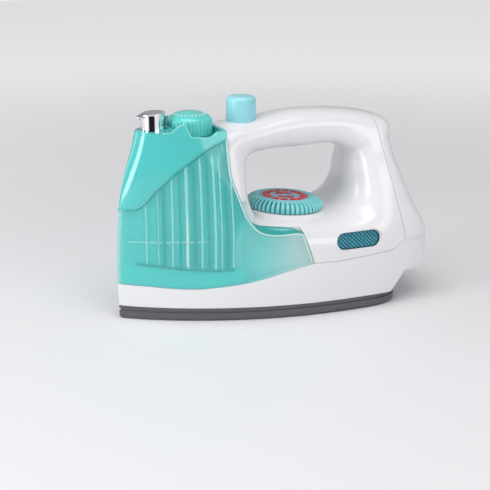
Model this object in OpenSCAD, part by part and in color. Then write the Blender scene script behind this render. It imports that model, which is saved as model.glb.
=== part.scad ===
// Toy steam iron: white housing with a loop handle, lift-off water tank with a spray pump,
// filler cap, turning dial, steam button, lamp windows and a battery compartment.
// The nose points to -X, the heel to +X, up is +Z. The sole stands on Z = 0.

/* [Overall] */
// Length from the nose to the heel
iron_len = 205; // [200:1:210]
// Width across the widest part of the skirt
iron_w = 88; // [86:1:92]
// Height of the handle's crown above the table
handle_z = 124; // [122:1:127]

/* [Handle and opening] */
// Width of the grip
grip_w = 33; // [31:1:36]
// Depth of the grip, crown to finger side
grip_t = 22; // [21:0.5:23.5]
// Length of the finger opening, inside the loop
opening_len = 73; // [70:1:75]
// Distance from the centre of the iron to the front of the opening
opening_front = 22.5; // [21:0.5:23.5]
// Height of the deck under the dial
deck_z = 60; // [59:0.5:61]
// Depth of the post in front of the opening
post_t = 15; // [14:0.5:16]

/* [Walls and fits] */
// Wall of the white mouldings
wall = 2.2; // [1.8:0.1:2.4]
// Wall of the clear tank
tank_wall = 2; // [1.6:0.1:2.2]
// Gap between pieces that come apart or move
gap = 0.3; // [0.25:0.05:0.4]
// Radial clearance of a shaft or stem in its bore
run_fit = 0.1; // [0.08:0.01:0.15]

/* [Sole] */
// Height of the grey sole
sole_t = 8.5; // [8:0.5:9.5]
// Thickness of the sole's floor
sole_floor = 2.4; // [2:0.1:2.8]
// Height of the groove that runs round the sole
groove_h = 1.2; // [0.8:0.1:1.6]
// Depth of that groove
groove_d = 0.8; // [0.5:0.1:1.2]

/* [Tank] */
// Height of the tank's top face, beside the spray button
tank_z = 117; // [115.5:0.5:118]
// Depth of the well round the filler cap
well_depth = 4; // [3:0.5:5]
// Thickness of the wings that wrap the sides
wing_t = 6; // [5:0.5:6.5]
// Lean of the lift-off path from upright, towards the nose
lift_lean = 27; // [26.5:0.5:30]

/* [Spray pump] */
// Diameter of the chrome spray button
nozzle_d = 14.5; // [14:0.5:15]
// Height of the chrome spray button above the tank
nozzle_h = 11.5; // [11:0.5:13]
// Travel of the spray button
nozzle_travel = 4.5; // [3:0.5:5]
// Outer diameter of the pump barrel
pump_d = 12; // [11:0.5:13]
// Length of the pump, flange to foot
pump_len = 42; // [38:1:46]

/* [Filler cap] */
// Diameter of the filler cap
cap_d = 28; // [27:0.5:28.5]
// Height of the cap above the floor of its well
cap_h = 14; // [12:0.5:15]
// Diameter of the filling hole
filler_d = 19; // [17:0.5:20]

/* [Dial] */
// Diameter of the dial
dial_d = 49.5; // [46:0.5:51]
// Thickness of the dial
dial_t = 7; // [6.5:0.5:8]
// Number of grip ribs round the dial
dial_ribs = 48; // [36:1:60]
// Diameter of the label disc on the dial
label_d = 31; // [28:1:34]
// Diameter of the dial's shaft
shaft_d = 8; // [7:0.5:9]
// Tilt of the dial down towards the heel
dial_tilt = 3.5; // [3:0.5:4]

/* [Steam button] */
// Diameter of the steam button
button_d = 18.5; // [17:0.5:19]
// Height of the steam button above the handle
button_h = 12.5; // [11:0.5:13]
// Travel of the steam button
button_travel = 3; // [2:0.5:3.5]

/* [Lamp windows] */
// Length of each lamp window
lamp_len = 30; // [26:1:32]
// Height of each lamp window
lamp_h = 10.5; // [9:0.5:11]

/* [Inside] */
// Diameter of a battery cell
cell_d = 14.5; // [13.5:0.5:14.5]
// Length of a battery cell, with its cap
cell_len = 50.5; // [44:0.5:50.5]
// Diameter of the speaker
speaker_d = 29; // [26:1:30]
// Thickness of the circuit board
board_t = 1.6; // [1:0.1:2]

/* [Hidden] */
$fn = 64;

// One overrun for every cut
over = 1;
half_w = iron_w / 2;
nose_x = -iron_len / 2;
heel_x = iron_len / 2;
open_front = -opening_front;
open_h = handle_z - grip_t - deck_z;
post_front = open_front - post_t;
loop_len = heel_x - post_front;
// Beyond everything, for the open sides of outlines
far_x = iron_len;
far_z = 2 * handle_z;

// Curves through hand-placed points
function knot(a, b, c, d, t) = 0.5 * (2 * b + (c - a) * t + (2 * a - 5 * b + 4 * c - d) * t * t
    + (3 * b - a - 3 * c + d) * t * t * t);
function open_curve(p, steps) = [for (i = [0 : len(p) - 2]) for (k = [0 : steps - 1])
    knot(p[max(i - 1, 0)], p[i], p[i + 1], p[min(i + 2, len(p) - 1)], k / steps), p[len(p) - 1]];
function closed_curve(p, steps) = [for (i = [0 : len(p) - 1]) for (k = [0 : steps - 1])
    knot(p[(i + len(p) - 1) % len(p)], p[i], p[(i + 1) % len(p)], p[(i + 2) % len(p)], k / steps)];
function moved(p, dx, dz) = [for (q = p) [q[0] + dx, q[1] + dz]];
function flip(p) = [for (i = [len(p) - 1 : -1 : 0]) p[i]];
function power(v, e) = sign(v) * pow(abs(v), e);
function last(p) = p[len(p) - 1];

// The iron's outline seen from above: a pointed bow and a squared heel. A row is
// height, nose, widest place, heel, half width, and how blunt the nose is.
bow_steps = 14;
heel_steps = 7;
heel_square = 3.8;
function bow(r, u) = [r[2] - (r[2] - r[1]) * u, r[4] * pow(max(0, 1 - u * u), 1 / r[5])];
function stern(r, a) = [r[2] + (r[3] - r[2]) * pow(cos(a), 2 / heel_square),
    r[4] * pow(sin(a), 2 / heel_square)];
function side_line(r) = concat(
    [for (i = [0 : bow_steps - 1]) bow(r, cos(90 * i / bow_steps))],
    [for (i = [heel_steps : -1 : 1]) stern(r, 90 * i / heel_steps)], [[r[3], 0]]);
function outline(r) = let (s = side_line(r), n = len(s))
    concat([for (i = [n - 1 : -1 : 0]) [s[i][0], s[i][1]]], [for (i = [1 : n - 2]) [s[i][0], -s[i][1]]]);
function shrunk(r, d) = [r[0], r[1] + d, r[2], r[3] - d, r[4] - d, r[5]];

module loft(rows) {
    rings = [for (r = rows) [for (q = outline(r)) [q[0], q[1], r[0]]]];
    n = len(rings[0]);
    m = len(rings);
    polyhedron(
        points = [for (g = rings) for (q = g) q],
        faces = concat(
            [[for (i = [0 : n - 1]) i]],
            [for (k = [0 : m - 2]) for (i = [0 : n - 1]) let (j = (i + 1) % n)
                each [[k * n + i, (k + 1) * n + i, (k + 1) * n + j],
                    [k * n + i, (k + 1) * n + j, k * n + j]]],
            [[for (i = [n - 1 : -1 : 0]) (m - 1) * n + i]]));
}

// An outline drawn in X and Z, carried across the whole width
module across(points) {
    translate([0, iron_w, 0]) rotate([90, 0, 0]) linear_extrude(2 * iron_w) polygon(points);
}

// The lower hull of the iron. Height shares run from the sole's top to the skirt's shoulder,
// the others are of the length and the half width.
skirt_z = 46;
hull_shares = [[0, 0.003, 0.945, 0.972], [0.17, 0.001, 0.97, 0.988], [0.34, 0.001, 0.99, 0.998],
    [0.6, 0, 1, 1], [1, 0.002, 1, 0.99], [1.55, 0.006, 1, 0.94], [1.9, 0.012, 1, 0.9]];
wide_x = nose_x + 0.675 * iron_len;
hull_blunt = 1.1;
function hull_row(s, d) = shrunk([sole_t + s[0] * (skirt_z - sole_t), nose_x + s[1] * iron_len, wide_x,
    nose_x + s[2] * iron_len, s[3] * half_w, hull_blunt], d);
function hull_rows(d) = [for (s = hull_shares) hull_row(s, d)];
// The same hull, carried down past the sole's top, for cuts
function deep_rows(d) = let (r = hull_rows(d))
    concat([[-over, r[0][1], r[0][2], r[0][3], r[0][4], r[0][5]]], r);

// The line where the tank and the housing meet the skirt, nose to heel
parting_shares = [[-0.05, 0.49], [0.07, 0.485], [0.16, 0.462], [0.24, 0.468], [0.366, 0.545],
    [0.473, 0.67], [0.557, 0.754]];
parting_rear_shares = [[0.557, 0.754], [0.64, 0.752], [0.707, 0.77], [0.825, 0.812], [0.868, 0.945],
    [1.05, 0.965]];
function along(p) = [for (s = p) [nose_x + s[0] * iron_len, s[1] * skirt_z]];
parting_front = open_curve(along(parting_shares), 3);
parting = concat(parting_front, [for (i = [1 : len(parting_rear_shares) - 1])
    along(parting_rear_shares)[i]]);
wing_end = last(parting_front);

// The tank's rear edge, from the front of the handle down to the end of the wing. Shares of x
// are of the post's depth, behind its front, and shares of z are of the tank's height.
rear_edge_shares = [[0, 1.06], [0, 0.906], [0.032, 0.786], [0.264, 0.684], [0.6, 0.564], [1.064, 0.491],
    [1.736, 0.468], [2.56, 0.47], [2.84, 0.463]];
rear_edge = concat(open_curve([for (s = rear_edge_shares) [post_front + s[0] * post_t, s[1] * tank_z]], 2),
    [wing_end]);
// Where the housing's front face ends and the nose deck of the skirt begins
foot_x = post_front + 0.6 * post_t;
foot_z = 0.564 * tank_z;
rear_edge_up = [for (q = rear_edge) if (q[1] > foot_z + over) q];
rear_edge_low = [for (q = rear_edge) if (q[1] <= foot_z + over) q];

// The heel's underside, behind the sole: it rises on a slope and runs on level. The first share
// is of the length, the second of the skirt's height.
rise_shares = [[0.827, 0], [0.871, 0.48]];
rise_low = [nose_x + rise_shares[0][0] * iron_len, sole_t];
rise_top = [nose_x + rise_shares[1][0] * iron_len, rise_shares[1][1] * skirt_z];
rise_lean = (rise_top[0] - rise_low[0]) / (rise_top[1] - rise_low[1]);
// What lies under it, d further in
function heel_zone(d) = let (top = [rise_top[0] - d * (norm([1, rise_lean]) - rise_lean), rise_top[1] + d])
    [[top[0] - rise_lean * (top[1] + over), -over], top, [far_x, top[1]], [far_x, -over]];

// The top of the nose deck, under the tank
nose_deck_shares = [[-0.05, 0.2], [0.06, 0.215], [0.16, 0.24], [0.235, 0.29], [0.3, 0.38], [0.33, 0.46]];
nose_deck = open_curve(concat([for (s = nose_deck_shares) [nose_x + s[0] * iron_len, s[1] * tank_z]],
    [[foot_x, foot_z]]), 3);

// The white loop of handle, posts and deck. Each row is a section across the loop: the inner
// point, the outer point, the half width and how square the section is. Inner shares are of the
// opening, outer shares of the loop's length and the handle's height, and the width runs from
// the grip's to the skirt's.
loop_shares = [
    [0.5, 0.965, 0.372, 1, 0, 2.5], [0.8, 0.98, 0.628, 0.985, 0.04, 2.6],
        [0.968, 0.886, 0.805, 0.935, 0.17, 2.7],
    [1, 0.76, 0.824, 0.845, 0.26, 2.6], [1.002, 0.6, 0.845, 0.74, 0.42, 2.6],
    [0.994, 0.318, 0.918, 0.53, 0.68, 2.8], [0.905, 0.06, 0.985, 0.29, 0.915, 3.4],
    [0.677, -0.016, 0.699, 0.065, 1, 3.8], [0.348, 0.023, 0.273, 0.065, 0.93, 3.8],
    [0.108, 0.055, -0.011, 0.13, 0.745, 3.2], [0.013, 0.27, -0.053, 0.484, 0.545, 2.8],
    [0, 0.61, -0.053, 0.726, 0.36, 2.6], [0.04, 0.88, -0.022, 0.928, 0.16, 2.5],
    [0.2, 0.955, 0.174, 0.969, 0.04, 2.5]];
function loop_row(s) = [open_front + s[0] * opening_len, deck_z + s[1] * open_h,
    post_front + s[2] * loop_len, s[3] * handle_z, grip_w / 2 + s[4] * (half_w - grip_w / 2), s[5]];
function loop_sections(steps) = closed_curve([for (s = loop_shares) loop_row(s)], steps);
function loop_point(r, d, a) = let (
        mid = [(r[0] + r[2]) / 2, (r[1] + r[3]) / 2],
        arm = [(r[2] - r[0]) / 2, (r[3] - r[1]) / 2],
        long = norm(arm),
        c = power(cos(a), 2 / r[5]) * (long - d) / long)
    [mid[0] - arm[0] * c, -(r[4] - d) * power(sin(a), 2 / r[5]), mid[1] - arm[1] * c];

// Half of the loop, on the -Y side, closed on the plane Y = 0
module loop_half(d, steps, sides) {
    rows = loop_sections(steps);
    m = len(rows);
    n = sides + 1;
    polyhedron(
        points = [for (r = rows) for (k = [0 : sides]) loop_point(r, d, 180 * k / sides)],
        faces = concat(
            [for (i = [0 : m - 1]) for (k = [0 : sides - 1]) let (j = (i + 1) % m)
                each [[i * n + k, i * n + k + 1, j * n + k + 1], [i * n + k, j * n + k + 1, j * n + k]]],
            [for (i = [0 : m - 1]) let (j = (i + 1) % m)
                each [[i * n, j * n, j * n + sides], [i * n, j * n + sides, i * n + sides]]]));
}
// The whole loop
module loop_whole(d, steps, sides) {
    rows = loop_sections(steps);
    m = len(rows);
    n = 2 * sides;
    polyhedron(
        points = [for (r = rows) for (k = [0 : n - 1]) loop_point(r, d, 180 * k / sides)],
        faces = [for (i = [0 : m - 1]) for (k = [0 : n - 1]) let (j = (i + 1) % m, l = (k + 1) % n)
            each [[i * n + k, i * n + l, j * n + l], [i * n + k, j * n + l, j * n + k]]]);
}

// The seam of the rear cover, from the handle's top to the parting line
seam_shares = [0.805, 0.873];
seam_top = [nose_x + seam_shares[0] * iron_len, handle_z];
seam_foot = [nose_x + seam_shares[1] * iron_len, 0.82 * skirt_z];
seam_lean = (seam_foot[0] - seam_top[0]) / (seam_top[1] - seam_foot[1]);
function seam_at(z) = seam_top[0] + (seam_top[1] - z) * seam_lean;
function parting_at(x) = lookup(x, parting);
seam_low = [seam_at(parting_at(seam_foot[0])), parting_at(seam_foot[0])];

// Outline of the white halves in X and Z. d draws the front back, for the cavity.
function shell_zone(d) = concat(
    [[rear_edge_up[0][0] + d, far_z]], moved(rear_edge_up, d, 0), [[foot_x + d, foot_z]],
    [[foot_x + d, parting_at(foot_x + d)]],
    [for (q = parting) if (q[0] > foot_x + d && q[0] < seam_low[0]) q],
    [seam_low, [seam_at(far_z), far_z]]);
// Outline of the rear cover
cover_zone = concat([[seam_at(far_z), far_z], seam_low], [for (q = parting) if (q[0] > seam_low[0]) q],
    [[far_x, last(parting)[1]], [far_x, far_z]]);
// The place the tank's wing takes beside the housing, d wider
function wing_zone(d) = concat([[foot_x - wall, foot_z + over]],
    moved(rear_edge_low, d, d), [[wing_end[0] + d, 0], [foot_x - wall, 0]]);

// The path of the wing as the tank is lifted off, along the leaning path
lift_side = [cos(lift_lean), sin(lift_lean)];
lift_reach = max([for (q = rear_edge) q * lift_side]) + gap;
function sweep_at(z) = (lift_reach - z * lift_side[1]) / lift_side[0];
sweep_low = 0.457 * tank_z;
sweep_top = foot_z + 1.5 * wing_t;
sweep_zone = [[foot_x - 2 * wall, sweep_low], [sweep_at(sweep_low), sweep_low],
    [sweep_at(sweep_top), sweep_top],
    [foot_x - 2 * wall, sweep_top]];

// Where the bosses of the two halves meet, in X and Z
boss_d = 6.4;
boss_shares = [0.9, 0.71, 0.47];
boss_spots = [[seam_at(boss_shares[0] * handle_z) - 2 * boss_d, boss_shares[0] * handle_z],
    [open_front - 0.5 * post_t, boss_shares[1] * handle_z],
    [seam_at(boss_shares[2] * handle_z) - 1.5 * boss_d, boss_shares[2] * handle_z]];
screw_d = 2.8;
screw_head_d = 5;
screw_head_t = 2;
screw_len = 12;
seat_t = 3;

module boss_rods() {
    for (p = boss_spots)
        translate([p[0], 0, p[1]]) rotate([90, 0, 0]) cylinder(d = boss_d, h = half_w);
}

// The dial's own frame: its seat is the plane Z = 0, its axis is Z
dial_x = open_front + 0.436 * opening_len;
dial_rise = 1;
dial_z = deck_z + dial_rise;
seat_rim = 4;
seat_d = dial_d + 2 * seat_rim;
seat_depth = 2 * wall + gap;
bore_d = shaft_d + 2 * run_fit;
module on_dial() {
    translate([dial_x, 0, dial_z]) rotate([0, dial_tilt, 0]) children();
}

// The steam button's axis and the place of its switch board
button_back = 2;
button_x = open_front + button_back;
button_bore_d = button_d + 2 * run_fit;
board_side = 13;
board_z = handle_z - grip_t + wall;
flange_d = button_d + 3;
flange_t = 1.6;
// The switch on that board: the side of its body, its height and the height of its pin
switch_side = 6;
switch_h = 3;
pin_h = 0.7;
spring_h = button_travel + switch_h + pin_h + run_fit;
flange_z = board_z + board_t + spring_h;

// The lamp window's place on the side
lamp_back = 6.3;
lamp_x = wide_x + lamp_back;
lamp_z = skirt_z;
lamp_y = 0.925 * half_w;
lamp_lean = 9;
lamp_t = 3.4;
lamp_fit = 0.1;
module stadium(l, h) {
    square([l - h, h], center = true);
    for (k = [-1, 1]) translate([k * (l - h) / 2, 0]) circle(d = h);
}
module lamp_place() {
    translate([lamp_x, -lamp_y, lamp_z]) rotate([90 - lamp_lean, 0, 0]) children();
}

// The half of the housing on the -Y side, without its screw holes
module half_shell() {
    difference() {
        union() {
            difference() {
                intersection() {
                    loop_half(0, 3, 12);
                    across(shell_zone(0));
                }
                difference() {
                    union() {
                        across(wing_zone(0));
                        across(sweep_zone);
                    }
                    loft(hull_rows(wing_t + gap));
                }
                intersection() {
                    loop_half(wall, 3, 12);
                    across(shell_zone(wall));
                    union() {
                        loft(hull_rows(wing_t + gap + wall));
                        translate([wing_end[0] + wall, -iron_w, 0]) cube([far_x, 2 * iron_w, far_z]);
                        translate([-far_x, -iron_w, sweep_top]) cube([2 * far_x, 2 * iron_w, far_z]);
                    }
                }
            }
            intersection() {
                loop_half(wall / 2, 3, 12);
                union() {
                    boss_rods();
                    translate([button_x - board_side / 2, -half_w, board_z - wall])
                        cube([board_side, half_w - board_side / 3, wall]);
                }
            }
            intersection() {
                on_dial() translate([0, 0, -seat_depth]) cylinder(d = seat_d, h = seat_depth);
                translate([-far_x, -iron_w, 0]) cube([2 * far_x, iron_w, far_z]);
            }
        }
        on_dial() translate([0, 0, -deck_z / 2]) cylinder(d = bore_d, h = deck_z / 2 + over);
        on_dial() cylinder(d = dial_d + 2, h = 2 * dial_t);
        translate([button_x, 0, board_z + wall]) cylinder(d = button_bore_d, h = far_z);
        lamp_place() translate([0, 0, -over - lamp_t]) linear_extrude(half_w)
            stadium(lamp_len + 2 * lamp_fit, lamp_h + 2 * lamp_fit);
    }
}
module left_shell() color("whitesmoke") {
    difference() {
        half_shell();
        for (p = boss_spots)
            translate([p[0], over, p[1]]) rotate([90, 0, 0])
                cylinder(d = screw_d + 2 * run_fit, h = screw_len + over);
    }
}
module right_shell() color("whitesmoke") {
    difference() {
        mirror([0, 1, 0]) half_shell();
        for (p = boss_spots) translate([p[0], 0, p[1]]) rotate([-90, 0, 0]) {
            translate([0, 0, -over]) cylinder(d = screw_d + 2 * run_fit, h = seat_t + 2 * over);
            translate([0, 0, seat_t]) cylinder(d = screw_head_d + 2 * run_fit, h = half_w);
        }
    }
}
module screw(d, head_d, head_t, length) {
    translate([0, 0, -length]) cylinder(d = d, h = length);
    difference() {
        cylinder(d = head_d, h = head_t);
        for (a = [0, 90]) rotate([0, 0, a]) translate([-d / 2, -d / 8, head_t / 2])
            cube([d, d / 4, head_t]);
    }
}
module shell_screws() color("silver") {
    for (p = boss_spots)
        translate([p[0], seat_t, p[1]]) rotate([-90, 0, 0])
            screw(screw_d, screw_head_d, screw_head_t, screw_len);
}

module rear_cover() color("whitesmoke") {
    difference() {
        intersection() {
            loop_whole(0, 3, 12);
            across(cover_zone);
        }
        intersection() {
            loop_whole(wall, 3, 12);
            across(cover_zone);
        }
    }
}

module lamp_window() {
    lamp_place() translate([0, 0, -lamp_t]) linear_extrude(lamp_t) stadium(lamp_len, lamp_h);
}
module lamp_window_left() color("teal") lamp_window();
module lamp_window_right() color("teal") mirror([0, 1, 0]) lamp_window();

// The grey sole: stacked outlines with a groove round the rim
sole_shares = [0.002, 0.884, 0.965];
sole_row = [0, nose_x + sole_shares[0] * iron_len, wide_x, nose_x + sole_shares[1] * iron_len,
    sole_shares[2] * half_w, hull_blunt];
lip_t = 1;
lip_d = 1.2;
module sole_layer(z0, z1, d) {
    translate([0, 0, z0]) linear_extrude(z1 - z0) polygon(outline(shrunk(sole_row, d)));
}
// Battery compartment, between the middle and the heel
cell_fit = 0.4;
cell_z = sole_floor + cell_fit + cell_d / 2;
cell_step = cell_d + 2 * cell_fit;
spring_room = 6;
plate_t = 0.5;
box_in_l = cell_len + spring_room;
box_in_w = cell_step + cell_d + 2 * cell_fit;
box_wall = 1.6;
box_x = rise_low[0] - 3 * wall - gap - box_wall - box_in_l / 2;
box_top = cell_z + cell_d / 2 + cell_fit;
box_rim = box_wall + gap + wall;
door_t = 1.7;
door_lip = 2;
// Screws that hold the sole to the skirt, in X and Y
base_boss_d = 8;
base_screw_len = 9;
base_head_z = 4;
base_shares = [0.13, 0.61];
base_y = base_shares[1] * half_w;
base_spots = [[nose_x + base_shares[0] * iron_len, 0], [wing_end[0] - 2 * base_boss_d, base_y],
    [wing_end[0] - 2 * base_boss_d, -base_y], [rise_low[0] - base_boss_d, base_y],
    [rise_low[0] - base_boss_d, -base_y]];
speaker_rim = 2;
speaker_rim_h = 3;
speaker_x = box_x - box_in_l / 2 - box_rim - wall - speaker_d / 2 - speaker_rim;
speaker_t = 6.5;
grille_d = 2.6;
grille_step = 4.6;
vent_d = 3.2;
vent_step = 9;
vent_side = 5;
vent_spread = 2.6;
module soleplate() color("dimgray") {
    groove_z = 0.62 * sole_t;
    difference() {
        union() {
            difference() {
                union() {
                    sole_layer(0, lip_t, lip_d);
                    sole_layer(lip_t, groove_z, 0);
                    sole_layer(groove_z, groove_z + groove_h, groove_d);
                    sole_layer(groove_z + groove_h, sole_t, 0);
                }
                intersection() {
                    sole_layer(sole_floor, sole_t + over, wall + groove_d);
                    translate([-far_x, -iron_w, 0])
                        cube([far_x + rise_low[0] - 2 * wall, 2 * iron_w, far_z]);
                }
            }
            for (p = base_spots) translate([p[0], p[1], 0]) cylinder(d = base_boss_d, h = sole_t);
            translate([speaker_x, 0, sole_floor]) difference() {
                cylinder(d = speaker_d + 2 * speaker_rim, h = speaker_rim_h);
                cylinder(d = speaker_d + 2 * gap, h = speaker_rim_h + over);
            }
            translate([box_x - box_in_l / 2 - box_rim, -box_in_w / 2 - box_rim, 0])
                cube([box_in_l + 2 * box_rim, box_in_w + 2 * box_rim, sole_t]);
        }
        for (p = base_spots) translate([p[0], p[1], 0]) {
            translate([0, 0, -over]) cylinder(d = screw_head_d + 2 * gap, h = base_head_z + over);
            cylinder(d = screw_d + 2 * run_fit, h = sole_t + over);
        }
        for (a = [0 : 60 : 300]) rotate_about(speaker_x, a) grille_hole(1);
        for (a = [0 : 30 : 330]) rotate_about(speaker_x, a) grille_hole(2);
        translate([speaker_x, 0, -over]) cylinder(d = grille_d, h = sole_floor + 2 * over);
        translate([box_x - box_in_l / 2 - box_wall - gap, -box_in_w / 2 - box_wall - gap, -over])
            cube([box_in_l + 2 * (box_wall + gap), box_in_w + 2 * (box_wall + gap), sole_t + 2 * over]);
        for (k = [1 : 6]) for (j = [-1, 1])
            translate([base_spots[0][0] + (k - 0.5) * vent_step, j * (vent_side + vent_spread * k), -over])
                cylinder(d = vent_d, h = over + lip_t);
    }
}
module rotate_about(x, a) {
    translate([x, 0, 0]) rotate([0, 0, a]) children();
}
module grille_hole(k) {
    translate([k * grille_step, 0, -over]) cylinder(d = grille_d, h = sole_floor + 2 * over);
}

module base_skirt() color("white") {
    skirt_zone = concat([[-far_x, 0]], [for (q = parting) if (q[0] < heel_x) q],
        [[heel_x, parting_at(heel_x)], [far_x, parting_at(heel_x)], [far_x, 0]]);
    core_zone = concat([[-far_x, 0]], nose_deck, [[foot_x, 0]]);
    hollow_zone = concat([[-far_x, -over]], moved(nose_deck, 0, -wall),
        [[wing_end[0] + over, foot_z - wall], [wing_end[0] + over, -over]]);
    shelf_zone = concat([[-far_x, -over]], moved(parting_front, 0, -wall),
        [[wing_end[0] + over, wing_end[1] - wall], [wing_end[0] + over, -over]]);
    difference() {
        union() {
            difference() {
                union() {
                    intersection() {
                        loft(hull_rows(0));
                        across(skirt_zone);
                    }
                    intersection() {
                        loft(hull_rows(wing_t + gap));
                        across(core_zone);
                    }
                }
                intersection() {
                    loft(deep_rows(wing_t + gap + wall));
                    across(hollow_zone);
                }
                difference() {
                    intersection() {
                        loft(deep_rows(wall));
                        union() {
                            across(shelf_zone);
                            translate([wing_end[0], -iron_w, -over]) cube([far_x, 2 * iron_w, far_z]);
                        }
                    }
                    across(heel_zone(wall));
                }
                across(heel_zone(0));
            }
            intersection() {
                union() {
                    translate([base_spots[0][0], 0, sole_t]) cylinder(d = base_boss_d, h = skirt_z / 2);
                    for (p = [for (i = [1 : 4]) base_spots[i]]) translate([p[0], p[1], sole_t]) {
                        cylinder(d = base_boss_d, h = base_boss_d);
                        translate([-wall / 2, min(0, sign(p[1]) * half_w), 0])
                            cube([wall, half_w, base_boss_d]);
                    }
                }
                loft(hull_rows(wall / 2));
                across(concat([[-far_x, 0]], moved(nose_deck, 0, -wall / 2), [[far_x, foot_z],
                    [far_x, 0]]));
            }
        }
        for (p = base_spots) translate([p[0], p[1], sole_t - over])
            cylinder(d = screw_d + 2 * run_fit, h = base_screw_len);
    }
}
module base_screws() color("silver") {
    for (p = base_spots) translate([p[0], p[1], base_head_z]) rotate([180, 0, 0])
        screw(screw_d, screw_head_d, screw_head_t, base_screw_len);
}

module speaker() color("black") {
    translate([speaker_x, 0, sole_floor]) rotate_extrude() polygon([
        [0, 0.35 * speaker_t], [0.3 * speaker_d, 0.12 * speaker_t], [0.42 * speaker_d, 0.15 * speaker_t],
        [0.43 * speaker_d, 0], [speaker_d / 2, 0], [speaker_d / 2, 0.25 * speaker_t],
        [0.3 * speaker_d, 0.55 * speaker_t], [0.3 * speaker_d, speaker_t], [0, speaker_t]]);
}

post_z = 0.74 * skirt_z;
post_d = 5;
board_l = 44;
board_w = 40;
module battery_box() color("gainsboro") {
    difference() {
        union() {
            translate([box_x - box_in_l / 2 - box_wall, -box_in_w / 2 - box_wall, door_t + gap])
                cube([box_in_l + 2 * box_wall, box_in_w + 2 * box_wall, box_top + box_wall - door_t - gap]);
            translate([box_x - box_in_l / 2 - box_wall - door_lip, -box_in_w / 2 - box_wall - door_lip,
                sole_t])
                cube([box_in_l + 2 * (box_wall + door_lip), box_in_w + 2 * (box_wall + door_lip),
                    box_wall]);
            for (i = [-1, 1]) for (j = [-1, 1])
                translate([box_x + i * (board_l / 2 - post_d), j * box_in_w / 3, box_top])
                cylinder(d = post_d, h = post_z - box_top);
        }
        translate([box_x - box_in_l / 2, -box_in_w / 2, -over]) cube([box_in_l, box_in_w, box_top + over]);
    }
}
module cell() {
    nub_d = 0.36 * cell_d;
    nub_l = 0.024 * cell_len;
    rotate([0, 90, 0]) {
        cylinder(d = cell_d, h = cell_len - nub_l);
        cylinder(d = nub_d, h = cell_len);
    }
}
module battery_cells() color("darkorange") {
    for (j = [-1, 1]) translate([box_x, j * cell_step / 2, cell_z]) mirror([j > 0 ? 1 : 0, 0, 0])
        translate([box_in_l / 2 - plate_t - cell_len, 0, 0]) cell();
}
module coil(r, wire, height, turns, per_turn = 8, sides = 6) {
    n = turns * per_turn;
    polyhedron(
        points = [for (i = [0 : n]) for (k = [0 : sides - 1]) let (
                a = 360 * i / per_turn, b = 360 * k / sides, q = r + wire / 2 * cos(b))
            [q * cos(a), q * sin(a), wire / 2 + (height - wire) * i / n + wire / 2 * sin(b)]],
        faces = concat([[for (k = [sides - 1 : -1 : 0]) k]],
            [for (i = [0 : n - 1]) for (k = [0 : sides - 1]) let (l = (k + 1) % sides)
                each [[i * sides + k, (i + 1) * sides + l, (i + 1) * sides + k],
                    [i * sides + k, i * sides + l, (i + 1) * sides + l]]],
            [[for (k = [0 : sides - 1]) n * sides + k]]));
}
plate_share = 0.7;
coil_share = 0.25;
module battery_contacts() color("silver") {
    for (i = [-1, 1]) for (j = [-1, 1])
        translate([box_x + i * (box_in_l - plate_t) / 2, j * cell_step / 2, cell_z])
        cube([plate_t, plate_share * cell_d, plate_share * cell_d], center = true);
    for (j = [-1, 1]) translate([box_x + j * (box_in_l - plate_t) / 2, j * cell_step / 2, cell_z])
        rotate([0, -90 * j, 0]) coil(coil_share * cell_d, spring_wire, spring_room - 1.5 * plate_t, 3);
}
ridge_step = 2.4;
ridge_t = 0.5;
module battery_door() color("dimgray") {
    l = box_in_l + 2 * box_wall;
    w = box_in_w + 2 * box_wall;
    translate([box_x - l / 2, -w / 2, gap]) difference() {
        cube([l, w, door_t - gap]);
        for (k = [2 : 5]) translate([l - ridge_step * (k + 0.5), w / 4, -over])
            cube([ridge_step / 2, w / 2, over + ridge_t]);
    }
}

chip = [12, 8, 3];
module circuit_board() color("seagreen") {
    translate([box_x - board_l / 2, -board_w / 2, post_z]) cube([board_l, board_w, board_t]);
    translate([box_x - chip[0] / 2, -chip[1] / 2, post_z + board_t]) cube(chip);
}
led_d = 5;
led_l = 8;
led_flange_t = 1;
leg_d = 0.6;
module led() {
    rotate([90, 0, 0]) {
        cylinder(d = led_d + led_flange_t, h = led_flange_t);
        cylinder(d = led_d, h = led_l - led_d / 2);
        translate([0, 0, led_l - led_d / 2]) sphere(d = led_d);
    }
}
module lamp_leds() color("aqua") {
    for (m = [0, 1]) mirror([0, m, 0]) translate([lamp_x, -board_w / 2 + 2 * led_flange_t, lamp_z]) {
        led();
        for (k = [-1, 1]) translate([k * led_d / 4, leg_d, post_z + board_t - lamp_z])
            cylinder(d = leg_d, h = lamp_z - post_z - board_t);
    }
}

module button_switch() color("seagreen") {
    translate([button_x - board_side / 2, -board_side / 2, board_z])
        cube([board_side, board_side, board_t]);
    translate([button_x - switch_side / 2, -switch_side / 2, board_z + board_t])
        cube([switch_side, switch_side, switch_h]);
    translate([button_x, 0, board_z + board_t + switch_h]) cylinder(d = switch_side / 2, h = pin_h);
}
spring_wire = 0.9;
module button_spring() color("silver") {
    translate([button_x, 0, board_z + board_t])
        coil(board_side / 2 - spring_wire, spring_wire, spring_h, 3);
}
button_sink = 2.4;
button_round = 3;
button_crown = 0.4;
module steam_button() color("paleturquoise") {
    r = button_d / 2;
    top = handle_z - button_sink + button_h;
    translate([button_x, 0, 0]) rotate_extrude() polygon(concat(
        [[0, flange_z], [flange_d / 2, flange_z], [flange_d / 2, flange_z + flange_t],
            [r, flange_z + flange_t]],
        [for (a = [0 : 15 : 90]) [r - button_round + button_round * cos(a),
            top - button_round + button_round * sin(a)]],
        [[0, top + button_crown]]));
}

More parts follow.
